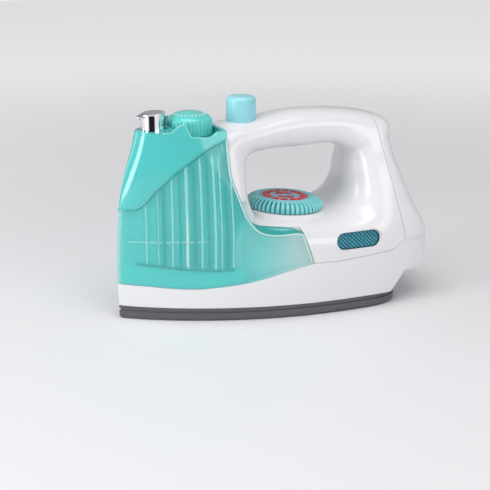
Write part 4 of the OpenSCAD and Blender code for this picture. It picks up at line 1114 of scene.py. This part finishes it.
def number(k):
    """A raised numeral, turned so that its foot points to the dial's middle."""
    text = bpy.data.curves.new("number", "FONT")
    text.body = str(k + 1)
    text.size = 2.7 * MM
    text.extrude = 0.06 * MM
    text.align_x = "CENTER"
    text.align_y = "CENTER"
    holder = bpy.data.objects.new("number", text)
    bpy.context.scene.collection.objects.link(holder)
    bpy.context.view_layer.update()
    graph = bpy.context.evaluated_depsgraph_get()
    mesh = bpy.data.meshes.new_from_object(holder.evaluated_get(graph))
    bpy.data.objects.remove(holder)
    piece = bpy.data.objects.new("number", mesh)
    bpy.context.scene.collection.objects.link(piece)
    angle = np.radians((k + 0.5) * turn)
    middle_r = (inner_r + outer_r) / 2
    place = Vector((middle_r * np.cos(angle), middle_r * np.sin(angle), face_z + film)) * MM
    mesh.transform(Matrix.Translation(place) @ Matrix.Rotation(angle - np.pi / 2, 4, "Z"))
    return on_dial(piece)


numbers = moulded(together("dial_numbers", [number(k) for k in range(parts)]))
print("print parts", parts, "film", film)

# %% [markdown]
# The filler cap is a low dome on a ribbed skirt, with a ring of beads on top and a plug below. Its
# ribs are a wave on the radius as on the dial, which fades where the dome begins. The beads could be
# instances. Here they are small balls of few faces, joined into one mesh, which is one piece to place.
# %% Filler cap
cap_h = 14.0
cap_ribs = 30
cap_skirt = 0.55 * cap_h
cap_wall = 2


def cap_body():
    """A dome on a ribbed skirt. The dome is a quarter of an ellipse, and on the skirt the radius is
    drawn in by 0.25 (1 - cos(30 a))."""
    r = cap_d / 2
    a = np.linspace(0, 2 * np.pi, cap_ribs * 10, endpoint=False)[:, None]
    b = np.linspace(0, np.pi / 2, 24)
    rise = cap_h - cap_skirt
    dome = np.stack([r * np.cos(b), cap_skirt + rise * np.sin(b)], -1)
    inner = np.stack([(r - cap_wall) * np.cos(b), cap_skirt - 0.5 + (rise - 1.3) * np.sin(b)], -1)
    profile = np.vstack([[r - cap_wall, gap], [r, gap], dome, inner[::-1]])
    rim = np.clip((cap_skirt + 2.5 - profile[:, 1]) / 2.5, 0, 1) * (profile[:, 0] > r - 1.9)
    radius = profile[:, 0] - rim * 0.25 * (1 - np.cos(a * cap_ribs))
    height = well_z + profile[:, 1] + 0 * a
    rings = np.stack([cap_x + radius * np.cos(a), radius * np.sin(a), height], -1)
    return ring_piece("cap_dome", rings, round_again=True)


cap = cap_body()
plug_r = filler_d / 2 - 1
plug_inner = plug_r - 1.5
plug_low, plug_high = well_z - 3, well_z + 9
join(cap, spin("plug", [[plug_inner, plug_low], [plug_r, plug_low], [plug_r, plug_high],
                        [plug_inner, plug_high]], at=(cap_x, 0)))
moulded(cap, 50)


def grip_dots():
    """Beads on the cap's dome, on a circle 9.6 mm from its middle: each is a ball sunk by half."""
    count, ring_r, bead_r = 26, 9.6, 0.7
    z = well_z + cap_skirt + (cap_h - cap_skirt) * np.sqrt(1 - (ring_r / (cap_d / 2)) ** 2)
    b = np.linspace(-np.pi / 2, np.pi / 2, 7)
    profile = np.stack([bead_r * np.cos(b), z + bead_r * np.sin(b)], -1)
    profile[[0, -1], 0] = 0
    angles = np.linspace(0, 2 * np.pi, count, endpoint=False)
    spots = [(cap_x + ring_r * np.cos(q), ring_r * np.sin(q)) for q in angles]
    return together("cap_dots", [spin("bead", profile, 10, q) for q in spots])


dots = grip_dots()
moulded(dots, 80)

# %% [markdown]
# The spray button is a chromed barrel with a short beak in front, under a lid that slopes to it. A
# wedge could be joined to a cylinder. Here the beak is a bump in the radius, narrow round the front
# and near the top, so that the plating runs over it without a seam. The lid is one cut.
# %% Spray nozzle
nozzle_h = 11.5
nozzle_top = tank_z + nozzle_h
beak_len = 3.4
plate_t = 1.2


def nozzle_body():
    """Rings of a barrel. The beak adds 3.4 exp(-((z - middle) / 1.5)^2) (-cos a)^14 to the radius,
    where -cos a is 1 in front, and the rim is rounded in by 0.25 mm."""
    low, high = tank_z - 9, nozzle_top
    z = np.concatenate([np.linspace(low, high - 5, 12), np.linspace(high - 4.6, high, 22)])[:, None]
    a = np.linspace(0, 2 * np.pi, 120, endpoint=False)[None, :]
    r = nozzle_d / 2
    near = np.exp(-((z - (high - 3.6)) / 1.5) ** 2)
    front = np.clip(-np.cos(a), 0, 1) ** 14
    radius = r + beak_len * near * front - 0.25 * np.clip((z - high + 0.8) / 0.8, 0, 1) ** 2
    x, y = radius * np.cos(a), radius * np.sin(a)
    return ring_piece("nozzle_shell", np.stack([nozzle_x + x, y, z + 0 * a], -1))


nozzle = nozzle_body()
lid_front = nozzle_x - 20
lid = across([[lid_front, nozzle_top - 4.4], [nozzle_x - nozzle_d / 2 - 2, nozzle_top - 3.2],
              [nozzle_x - nozzle_d / 4, nozzle_top - 1.5], [nozzle_x + nozzle_d / 6, nozzle_top - 0.9],
              [nozzle_x + nozzle_d, nozzle_top - 0.8], [nozzle_x + nozzle_d, far], [lid_front, far]])
cut(nozzle, lid)
cut(nozzle, disc(nozzle_d / 2 - plate_t, hole_low, tank_z, nozzle_x))
moulded(nozzle)

# %% [markdown]
# The lamp windows are slots of teal plastic whose face is pressed into small diamonds. A bump would
# leave the outline flat and fade at a low angle. The face is a fine grid that rises along the two
# diagonals, and the rise fades out at the rim, so that the edge of the slot stays clean.
# %% Lamp windows
lens_pitch = 2.6
lens_rise = 0.8


def lamp_window(name, side):
    """A slot-shaped lens. Its face is scaled copies of the outline, from the rim to the middle, and
    stands out by 0.8 (|sin p| |sin q|)^0.8, where p and q run along the two diagonals."""
    steps, copies = 110, 46
    straight = np.linspace(-1, 1, 60)[1:-1, None] * [(lamp_len - lamp_h) / 2, 0]
    flat = slot_ends(lamp_len, lamp_h, steps)
    flat = np.vstack([flat[:steps], -straight + [0, lamp_h / 2], flat[steps:],
                      straight - [0, lamp_h / 2]])
    share = np.concatenate([[0.0], [1.0, 1.0], np.linspace(0.985, 0.0, copies)])
    level = np.concatenate([[-3.4], [-3.4, -0.9], np.full(copies, -0.1)])
    spot = share[:, None, None] * flat[None]
    p = np.pi * (spot[..., 0] + spot[..., 1]) / lens_pitch
    q = np.pi * (spot[..., 0] - spot[..., 1]) / lens_pitch
    fade = np.clip((1 - share) * 14, 0, 1)[:, None]
    knurl = lens_rise * (np.abs(np.sin(p)) * np.abs(np.sin(q))) ** 0.8 * fade
    face = (np.arange(len(share)) > 2)[:, None]
    height = level[:, None] + knurl * face - lens_rise * face
    lens = ring_piece(name, np.concatenate([spot, height[..., None]], -1))
    return moulded(on_lamp(lens, side), 75)


lamp_left = lamp_window("lamp_lens_left", -1)
lamp_right = lamp_window("lamp_lens_right", 1)

# %% [markdown]
# ## Finishes
# Each finish is a Principled surface whose roughness, colour and bump come from small groups. The
# nodes could be set up anew in every material. A group is built once and placed in each with its
# own values. Moulded plastic is never quite even: the grain wavers in gloss and has a fine tooth.
# %% Moulded grain
def group(name, sockets_in, sockets_out):
    """A node group with named sockets, and its input and output nodes."""
    tree = bpy.data.node_groups.new(name, "ShaderNodeTree")
    for socket, kind, value in sockets_in:
        s = tree.interface.new_socket(socket, in_out="INPUT", socket_type=kind)
        s.default_value = value
    for socket, kind in sockets_out:
        tree.interface.new_socket(socket, in_out="OUTPUT", socket_type=kind)
    return tree, tree.nodes.new("NodeGroupInput"), tree.nodes.new("NodeGroupOutput")


def node(tree, kind, **values):
    """A node of a kind with some of its settings."""
    n = tree.nodes.new(kind)
    for key, value in values.items():
        setattr(n, key, value)
    return n


FLOAT, COLOR = "NodeSocketFloat", "NodeSocketColor"
grain, g_in, g_out = group("moulded grain", [("Scale", FLOAT, 900.0), ("Roughness", FLOAT, 0.3),
                                             ("Spread", FLOAT, 0.05)],
                           [("Roughness", FLOAT), ("Height", FLOAT)])
where = node(grain, "ShaderNodeTexCoord")
fine = node(grain, "ShaderNodeTexNoise")
fine.inputs["Detail"].default_value = 3
wide = node(grain, "ShaderNodeTexNoise")
wide.inputs["Scale"].default_value = 35
spread = node(grain, "ShaderNodeMath", operation="MULTIPLY_ADD")
centre = node(grain, "ShaderNodeMath", operation="SUBTRACT")
centre.inputs[1].default_value = 0.5
grain.links.new(where.outputs["Object"], fine.inputs["Vector"])
grain.links.new(where.outputs["Object"], wide.inputs["Vector"])
grain.links.new(g_in.outputs["Scale"], fine.inputs["Scale"])
grain.links.new(wide.outputs["Fac"], centre.inputs[0])
grain.links.new(centre.outputs[0], spread.inputs[0])
grain.links.new(g_in.outputs["Spread"], spread.inputs[1])
grain.links.new(g_in.outputs["Roughness"], spread.inputs[2])
grain.links.new(spread.outputs[0], g_out.inputs["Roughness"])
grain.links.new(fine.outputs["Fac"], g_out.inputs["Height"])

print("group", grain.name, "nodes", len(grain.nodes))

# %% [markdown]
# The colour of a moulding drifts a little from place to place as well. A painted picture could do
# it. Noise on Object coordinates needs no picture and follows the piece when it moves.
# %% Colour drift
drift, d_in, d_out = group("colour drift", [("Color", COLOR, (1, 1, 1, 1)), ("Amount", FLOAT, 0.05),
                                            ("Scale", FLOAT, 20.0)], [("Color", COLOR)])
where = node(drift, "ShaderNodeTexCoord")
cloud = node(drift, "ShaderNodeTexNoise")
shift = node(drift, "ShaderNodeMapRange")
shift.inputs["From Min"].default_value = 0.3
shift.inputs["From Max"].default_value = 0.7
amount = node(drift, "ShaderNodeMath", operation="MULTIPLY")
shade = node(drift, "ShaderNodeMix", data_type="RGBA", blend_type="MULTIPLY")
shade.inputs["B"].default_value = (0.8, 0.8, 0.82, 1)
drift.links.new(where.outputs["Object"], cloud.inputs["Vector"])
drift.links.new(d_in.outputs["Scale"], cloud.inputs["Scale"])
drift.links.new(cloud.outputs["Fac"], shift.inputs["Value"])
drift.links.new(shift.outputs["Result"], amount.inputs[0])
drift.links.new(d_in.outputs["Amount"], amount.inputs[1])
drift.links.new(amount.outputs[0], shade.inputs["Factor"])
drift.links.new(d_in.outputs["Color"], shade.inputs["A"])
drift.links.new(shade.outputs["Result"], d_out.inputs["Color"])
print("group", drift.name, "nodes", len(drift.nodes))


# %% [markdown]
# Four more groups put a pattern on a piece: painted shade at the feet of the dial's grooves, dark
# upright bands on the bright plating as painted reflections, a paler tint towards the wing's end, where
# the wall is thin, and painted highlights on the tops of the lens's diamonds. Vertex colours could
# carry them. A mask worked out from Object coordinates is as sharp as the render needs and doesn't
# depend on how fine the mesh is.
# %% Pattern groups
def chain(tree, start, *steps):
    """Math nodes in a row: each step is an operation and its second value."""
    last = start
    for operation, value in steps:
        step = node(tree, "ShaderNodeMath", operation=operation)
        step.inputs[1].default_value = value
        tree.links.new(last, step.inputs[0])
        last = step.outputs[0]
    return last


def ramp(tree, start, low, high):
    """A smooth step from 0 at low to 1 at high."""
    step = node(tree, "ShaderNodeMapRange", interpolation_type="SMOOTHSTEP")
    step.inputs["From Min"].default_value = low
    step.inputs["From Max"].default_value = high
    tree.links.new(start, step.inputs["Value"])
    return step.outputs["Result"]


def object_axes(tree, centre):
    """Object coordinates, measured from a centre in metres, and split into three axes."""
    coordinates = node(tree, "ShaderNodeTexCoord")
    mapping = node(tree, "ShaderNodeMapping")
    mapping.inputs["Location"].default_value = [-v for v in centre]
    axes = node(tree, "ShaderNodeSeparateXYZ")
    tree.links.new(coordinates.outputs["Object"], mapping.inputs["Vector"])
    tree.links.new(mapping.outputs["Vector"], axes.inputs["Vector"])
    return mapping, axes


def blend_group(name):
    """A group that blends from Color to Far by a mask, which the caller links to the blend's Factor."""
    sockets = [("Color", COLOR, (1, 1, 1, 1)), ("Far", COLOR, (1, 1, 1, 1))]
    tree, g_in, g_out = group(name, sockets, [("Color", COLOR)])
    blend = node(tree, "ShaderNodeMix", data_type="RGBA")
    tree.links.new(g_in.outputs["Color"], blend.inputs["A"])
    tree.links.new(g_in.outputs["Far"], blend.inputs["B"])
    tree.links.new(blend.outputs["Result"], g_out.inputs["Color"])
    return tree, blend


# Painted shade at the feet of the dial's grooves.
painted_groove_shade, blend = blend_group("dial grooves")
mapping, axes = object_axes(painted_groove_shade, (dial_x * MM, 0, dial_z * MM))
angle = node(painted_groove_shade, "ShaderNodeMath", operation="ARCTAN2")
painted_groove_shade.links.new(axes.outputs["Y"], angle.inputs[0])
painted_groove_shade.links.new(axes.outputs["X"], angle.inputs[1])
wave = chain(painted_groove_shade, angle.outputs[0], ("MULTIPLY", dial_ribs), ("COSINE", 0))
flat = node(painted_groove_shade, "ShaderNodeVectorMath", operation="MULTIPLY")
flat.inputs[1].default_value = (1, 1, 0)
reach = node(painted_groove_shade, "ShaderNodeVectorMath", operation="LENGTH")
painted_groove_shade.links.new(mapping.outputs["Vector"], flat.inputs[0])
painted_groove_shade.links.new(flat.outputs["Vector"], reach.inputs[0])
mask = node(painted_groove_shade, "ShaderNodeMath", operation="MULTIPLY")
painted_groove_shade.links.new(ramp(painted_groove_shade, wave, 0.42, 0.6), mask.inputs[0])
painted_groove_shade.links.new(ramp(painted_groove_shade, reach.outputs["Value"], 0.0192, 0.0202), mask.inputs[1])
painted_groove_shade.links.new(mask.outputs[0], blend.inputs["Factor"])

# Painted reflection: dark upright bands on the nozzle's plating.
painted_reflection_bands, blend = blend_group("chrome bands")
mapping, axes = object_axes(painted_reflection_bands, (nozzle_x * MM, 0, 0))
angle = node(painted_reflection_bands, "ShaderNodeMath", operation="ARCTAN2")
painted_reflection_bands.links.new(axes.outputs["Y"], angle.inputs[0])
painted_reflection_bands.links.new(axes.outputs["X"], angle.inputs[1])
wave = chain(painted_reflection_bands, angle.outputs[0], ("ADD", np.radians(112)), ("MULTIPLY", 4), ("COSINE", 0))
mask = node(painted_reflection_bands, "ShaderNodeMath", operation="MULTIPLY")
painted_reflection_bands.links.new(ramp(painted_reflection_bands, wave, 0.35, 0.75), mask.inputs[0])
below_rim = ramp(painted_reflection_bands, axes.outputs["Z"], (nozzle_top - 1.9) * MM, (nozzle_top - 2.6) * MM)
painted_reflection_bands.links.new(below_rim, mask.inputs[1])
painted_reflection_bands.links.new(mask.outputs[0], blend.inputs["Factor"])

paler, blend = blend_group("paler wing end")
_, axes = object_axes(paler, (0, 0, 0))
paler.links.new(ramp(paler, axes.outputs["X"], -0.026, 0.016), blend.inputs["Factor"])

# Painted highlight on the tops of the lens's diamonds.
painted_diamond_highlights, blend = blend_group("lens diamonds")
_, axes = object_axes(painted_diamond_highlights, (lamp_x * MM, 0, lamp_z * MM))
waves = []
for how in ("ADD", "SUBTRACT"):
    diagonal = node(painted_diamond_highlights, "ShaderNodeMath", operation=how)
    painted_diamond_highlights.links.new(axes.outputs["X"], diagonal.inputs[0])
    painted_diamond_highlights.links.new(axes.outputs["Z"], diagonal.inputs[1])
    waves.append(chain(painted_diamond_highlights, diagonal.outputs[0], ("MULTIPLY", np.pi / (lens_pitch * MM)),
                       ("SINE", 0), ("ABSOLUTE", 0)))
tops = node(painted_diamond_highlights, "ShaderNodeMath", operation="MULTIPLY")
painted_diamond_highlights.links.new(waves[0], tops.inputs[0])
painted_diamond_highlights.links.new(waves[1], tops.inputs[1])
painted_diamond_highlights.links.new(ramp(painted_diamond_highlights, tops.outputs[0], 0.35, 0.9), blend.inputs["Factor"])
for tree in (painted_groove_shade, painted_reflection_bands, paler, painted_diamond_highlights):
    print("group", tree.name, "nodes", len(tree.nodes))

# %% [markdown]
# One function makes every finish, because they differ only in numbers. Colours are written as they
# are read off a screen and turned into the even scale that the renderer works with. The tank's clear
# parts get an Alpha and not Transmission: a thin wall tints what is behind it and hardly bends it.
# %% How a plastic is made
grain_scale = 900.0
drift_amount = 0.06
tooth_strength = 0.02
tooth_depth = 0.0002


def linear(r, g, b):
    """A colour as written on a screen, 0 to 255, in the light that the renderer works with."""
    c = np.array([r, g, b]) / 255
    return tuple(np.where(c <= 0.04045, c / 12.92, ((c + 0.055) / 1.055) ** 2.4)) + (1.0,)


def plastic(name, colour, rough=0.25, spread=0.06, pattern=None, **sockets):
    """A moulded finish: grain in the roughness and the bump, a slow drift in the colour, and where it
    is given a pattern group with the colour that it brings in."""
    m = bpy.data.materials.new(name)
    m.use_nodes = True
    tree = m.node_tree
    surface = tree.nodes["Principled BSDF"]
    grain_node = node(tree, "ShaderNodeGroup", node_tree=grain)
    grain_node.inputs["Scale"].default_value = grain_scale
    grain_node.inputs["Roughness"].default_value = rough
    grain_node.inputs["Spread"].default_value = spread
    tint = node(tree, "ShaderNodeGroup", node_tree=drift)
    tint.inputs["Color"].default_value = colour
    tint.inputs["Amount"].default_value = drift_amount
    height = node(tree, "ShaderNodeBump")
    height.inputs["Strength"].default_value = tooth_strength
    height.inputs["Distance"].default_value = tooth_depth
    tree.links.new(grain_node.outputs["Roughness"], surface.inputs["Roughness"])
    tree.links.new(grain_node.outputs["Height"], height.inputs["Height"])
    tree.links.new(height.outputs["Normal"], surface.inputs["Normal"])
    last = tint
    if pattern:
        last = node(tree, "ShaderNodeGroup", node_tree=pattern[0])
        last.inputs["Far"].default_value = pattern[1]
        tree.links.new(tint.outputs["Color"], last.inputs["Color"])
    tree.links.new(last.outputs["Color"], surface.inputs["Base Color"])
    for key, value in sockets.items():
        surface.inputs[key.replace("_", " ")].default_value = value
    return m


# %% [markdown]
# The whites, the greys and the teals follow the photograph. The teals differ from piece to piece.
# Some of that is painted light: pale teals are painted highlights on the wall's edges, the crown's rim,
# the chamber's bars, the level line and the cap's beads, and the hood's lip and the dark bars carry
# painted shade. The shoulder is a darker teal and the chamber a paler one.
# %% Finishes
white = plastic("white_abs", linear(232, 231, 234), 0.2, Coat_Weight=0.35, Coat_Roughness=0.06)
grey = plastic("sole_grey", linear(84, 84, 91), 0.3, Coat_Weight=0.2)
inner_white = plastic("inner_white", linear(215, 220, 222), 0.4)
teal = plastic("tank_teal", linear(104, 232, 228), 0.08, 0.03, pattern=(paler, linear(214, 246, 243)),
               Alpha=0.4, Coat_Weight=0.5, Coat_Roughness=0.04)
hood_teal = plastic("hood_teal", linear(86, 208, 205), 0.1, 0.03,
                    Alpha=0.85, Coat_Weight=0.6, Coat_Roughness=0.04)
cap_teal = plastic("cap_teal", linear(96, 212, 206), 0.14, 0.03,
                   Coat_Weight=0.5, Coat_Roughness=0.05)
# Painted light among these teals: the lip's teal and the shade teal are painted shade, and the pale
# teals of edges, rim and bars are painted highlights.
lip_shade_teal = plastic("lip_shade_teal", linear(62, 170, 168), 0.12, 0.03, Coat_Weight=0.5)
pale_highlight_teal = plastic("pale_highlight_teal", linear(205, 238, 234), 0.12, 0.03, Alpha=0.8, Coat_Weight=0.5)
shoulder_teal = plastic("shoulder_teal", linear(52, 160, 156), 0.1, 0.03, Coat_Weight=0.5)
chamber_teal = plastic("chamber_teal", linear(140, 236, 232), 0.12, 0.03, Alpha=0.5, Coat_Weight=0.5)
shade_teal = plastic("shade_teal", linear(24, 122, 122), 0.15, 0.03, Alpha=0.7)
rim_highlight_teal = plastic("rim_highlight_teal", linear(150, 226, 222), 0.12, 0.03, Coat_Weight=0.5)
bar_highlight_teal = plastic("bar_highlight_teal", linear(222, 247, 245), 0.2, 0.03, Alpha=0.8)
band_teal = plastic("band_teal", linear(128, 236, 232), 0.12, 0.03, Alpha=0.75)
seam_teal = plastic("seam_teal", linear(8, 70, 72), 0.2, 0.03)
# The dial's darker colour in its grooves is painted shade.
dial_teal = plastic("dial_teal", linear(132, 216, 218), 0.32, pattern=(painted_groove_shade, linear(52, 138, 146)))
print_red = plastic("print_red", linear(214, 8, 16), 0.4)
print_white = plastic("print_white", linear(238, 238, 236), 0.4)
label_blue = plastic("label_blue", linear(150, 184, 210), 0.4)
button_blue = plastic("button_blue", linear(152, 220, 230), 0.25)
# The lens's paler diamond tops are a painted highlight.
lens_teal = plastic("lens_teal", linear(4, 104, 128), 0.12, pattern=(painted_diamond_highlights, linear(60, 176, 190)),
                    Coat_Weight=0.5)
# The chrome's dark bands are painted reflections.
chrome = plastic("chrome_plate", linear(240, 240, 243), 0.06, 0.03,
                 pattern=(painted_reflection_bands, linear(38, 38, 42)), Metallic=1.0)
steel = plastic("bright_steel", linear(190, 192, 196), 0.28, Metallic=1.0)
rubber = plastic("seal_rubber", linear(45, 45, 48), 0.6)
green = plastic("board_green", linear(30, 110, 70), 0.4)
orange = plastic("cell_sleeve", linear(200, 120, 40), 0.35)
black = plastic("speaker_black", linear(30, 30, 32), 0.6)
led = plastic("led_clear", linear(225, 240, 245), 0.1, Transmission_Weight=0.7)

print("finishes", len(bpy.data.materials))

# %% [markdown]
# ## Who rides on what
# Every piece rides on the body that carries it on the real iron, so it moves as that does. Each new
# moulding stands for the solid that it was made after, and trim stands for none. Parenting by hand
# would do the same. Here one helper hangs each piece on an empty for its body.
# %% Pieces, bodies and solids that they stand for
plan = [
    (housing_left, "housing", ["left_shell"], "white_shell", white),
    (housing_right, "housing", ["right_shell"], "white_shell", white),
    (rear_cover, "housing", ["rear_cover"], "white_shell", white),
    (skirt, "housing", ["base_skirt"], "white_shell", white),
    (sole, "housing", ["soleplate"], "sole_grey", grey),
    (lamp_left, "housing", ["lamp_window_left"], "lamp_window", lens_teal),
    (lamp_right, "housing", ["lamp_window_right"], "lamp_window", lens_teal),
    (button, "steam_button", ["steam_button"], "button_blue", button_blue),
    (dial, "dial", ["dial_knob"], "dial_teal", dial_teal),
    (tank, "tank", ["tank_body"], "tank_clear", teal),
    (hood, "tank", ["tank_hood"], "tank_hood", hood_teal),
    (nozzle, "spray_button", ["spray_nozzle"], "nozzle_chrome", chrome),
    (cap, "cap", ["filler_cap"], "cap_teal", cap_teal),
    (lip, "tank", [], "tank_hood", lip_shade_teal),
    (wall_edge_highlights, "tank", [], "tank_clear", pale_highlight_teal),
    (shoulders, "tank", [], "tank_clear", shoulder_teal),
    (chamber, "tank", [], "tank_clear", chamber_teal),
    (level_highlight, "tank", [], "tank_clear", bar_highlight_teal),
    (chamber_highlight_bars, "tank", [], "tank_clear", bar_highlight_teal),
    (chamber_shades, "tank", [], "tank_clear", shade_teal),
    (floor_seam, "tank", [], "tank_clear", seam_teal),
    (band, "tank", [], "tank_clear", band_teal),
    (crown_rim_highlight, "tank", [], "tank_hood", rim_highlight_teal),
    (red_ring, "dial", [], "label_blue", print_red),
    (red_arrows, "dial", [], "label_blue", print_red),
    (numbers, "dial", [], "label_blue", print_white),
    # The cap's beads get a pale teal, a painted highlight.
    (dots, "cap", [], "cap_teal", pale_highlight_teal),
    (button_coil, "housing", ["button_spring"], "spring_steel", steel),
    (pump_coil, "tank", ["pump_spring"], "spring_steel", steel),
]
for piece, body, stands_for, slot, finish in plan:
    piece.data.materials.clear()
    piece.data.materials.append(finish)
    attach(piece, body)
    if stands_for:
        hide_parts(*stands_for)

# %% [markdown]
# A spring is held at its lower end and pressed at the other. Shape keys could flatten it. Here each
# spring only gets a mesh of its own, and nothing flattens it.
# %% Springs with meshes of their own
for piece, joint, x, ends, travel in ((button_coil, "steam_press", button_x, button_ends, 3.0),
                                      (pump_coil, "spray_press", nozzle_x, pump_ends, 4.5)):
    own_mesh(piece)

# %% [markdown]
# What is hidden inside keeps the frame's own solids, and so does what is flat, seen only through the
# tank or seen only from below, such as the label, the pump and the battery door. They could be made
# finer as well, but their facets hardly show, so they only get the finish of what they are made of.
# %% Pieces that stay solids
kept = {
    "lamp_leds": led, "circuit_board": green, "speaker": black, "battery_box": inner_white,
    "battery_cells": orange, "battery_contacts": steel, "battery_door": grey, "base_screws": steel,
    "shell_screws": steel, "button_switch": green, "dial_label": label_blue,
    "click_wheel": inner_white, "dial_screw": steel, "click_spring": steel, "tank_floor": teal,
    "pump_barrel": inner_white, "dip_tube": inner_white, "pump_piston": inner_white,
    "cap_seal": rubber,
}
for name, finish in kept.items():
    nodes[name].data.materials.clear()
    nodes[name].data.materials.append(finish)
print("made", len(plan), "kept", len(kept))

# %% [markdown]
# ## The floor
# A plain pale floor carries the shadow. It could be a curved backdrop. A level plane is simpler, and
# seen by the camera it glows softly further out, which lets it run into the white behind it without
# putting any more light on the iron.
# %% Floor
floor_half = 3000
floor_corners = np.array([[-1, -1, 0], [1, -1, 0], [1, 1, 0], [-1, 1, 0]]) * floor_half
floor = mesh_piece("floor", floor_corners, [np.array([[0, 1, 2, 3]])])
floor_paint = bpy.data.materials.new("floor_paint")
floor_paint.use_nodes = True
paint = floor_paint.node_tree
matt = paint.nodes["Principled BSDF"]
matt.inputs["Base Color"].default_value = linear(236, 236, 238)
matt.inputs["Roughness"].default_value = 0.6
spot = node(paint, "ShaderNodeTexCoord")
away = node(paint, "ShaderNodeVectorMath", operation="LENGTH")
fade = node(paint, "ShaderNodeMapRange", interpolation_type="SMOOTHSTEP")
for key, value in (("From Min", 0.1), ("From Max", 1.3), ("To Min", 0.0), ("To Max", 0.42)):
    fade.inputs[key].default_value = value
seen = node(paint, "ShaderNodeLightPath")
glow = node(paint, "ShaderNodeMath", operation="MULTIPLY")
paint.links.new(spot.outputs["Object"], away.inputs[0])
paint.links.new(away.outputs["Value"], fade.inputs["Value"])
paint.links.new(fade.outputs["Result"], glow.inputs[0])
paint.links.new(seen.outputs["Is Camera Ray"], glow.inputs[1])
matt.inputs["Emission Color"].default_value = (1, 1, 1, 1)
paint.links.new(glow.outputs[0], matt.inputs["Emission Strength"])
floor.data.materials.append(floor_paint)
print("floor", 2 * floor_half * MM, "m wide")

# %% [markdown]
# ## The light
# The world is the soft light of a white room. A picture of a studio could light the scene, but a
# plain colour gives no hints of a room in the plastic. Seen by the camera it is white, and on the
# iron it is dim, so that the lamps can model the form.
# %% World
world = bpy.data.worlds.new("studio")
bpy.context.scene.world = world
world.use_nodes = True
sky = world.node_tree.nodes["Background"]
sky.inputs["Color"].default_value = (0.98, 0.985, 1, 1)
path = node(world.node_tree, "ShaderNodeLightPath")
level = node(world.node_tree, "ShaderNodeMapRange")
level.inputs["To Min"].default_value = 0.36
level.inputs["To Max"].default_value = 1.0
world.node_tree.links.new(path.outputs["Is Camera Ray"], level.inputs["Value"])
world.node_tree.links.new(level.outputs["Result"], sky.inputs["Strength"])
print("world strength on the iron", round(level.inputs["To Min"].default_value, 2))


# %% [markdown]
# Four large lamps do that: a softbox above, a strip behind for the edges, one at the left of the
# picture for the long highlights on the hood, and a broad one in front. Points would draw hard spots
# on gloss. Large faces draw the broad soft streaks that moulded plastic shows in a shop's light.
# %% Lamps
def lamp(name, place, aim, size, power):
    """A rectangular lamp at a place in metres, turned to face another place."""
    data = bpy.data.lights.new(name, "AREA")
    data.shape = "RECTANGLE"
    data.size, data.size_y = size
    data.energy = power
    obj = bpy.data.objects.new(name, data)
    obj.location = place
    obj.rotation_euler = (Vector(aim) - Vector(place)).to_track_quat("-Z", "Y").to_euler()
    bpy.context.scene.collection.objects.link(obj)
    return obj


iron_middle = (0, 0, 0.06)
lamps = [("top_softbox", (-0.15, -0.25, 0.95), (0.9, 0.6), 5.0),
         ("back_strip", (-0.8, 0.5, 0.3), (0.2, 0.7), 1.2),
         ("left_softbox", (-0.87, -0.15, 0.27), (0.22, 0.6), 2.9),
         ("front_fill", (0.35, -1.1, 0.4), (0.8, 0.5), 2.9)]
for name, place, size, power in lamps:
    lamp(name, place, iron_middle, size, power)
print("lamps", len(lamps))

# %% [markdown]
# ## The camera
# The camera stands where the photograph was taken: from the left, a little ahead and above. Its
# place and lens could be found by eye. Here they were fitted to the iron's outline in the photograph,
# and only the result is written down.
# %% Camera
camera_data = bpy.data.cameras.new("camera")
camera_data.sensor_width = 36
camera_data.lens = 73.5
camera = bpy.data.objects.new("camera", camera_data)
camera_place = (-0.2475, -0.5686, 0.2310)
azimuth = np.radians(-22)
elevation = np.radians(17.5)
level_part = np.cos(elevation)
back = Vector((np.sin(azimuth) * level_part, -np.cos(azimuth) * level_part, np.sin(elevation)))
camera.location = camera_place
camera.rotation_euler = back.to_track_quat("Z", "Y").to_euler()
bpy.context.scene.collection.objects.link(camera)
bpy.context.scene.camera = camera
bpy.context.scene.view_settings.view_transform = "Standard"

print("camera at", camera_place, "lens", camera_data.lens)
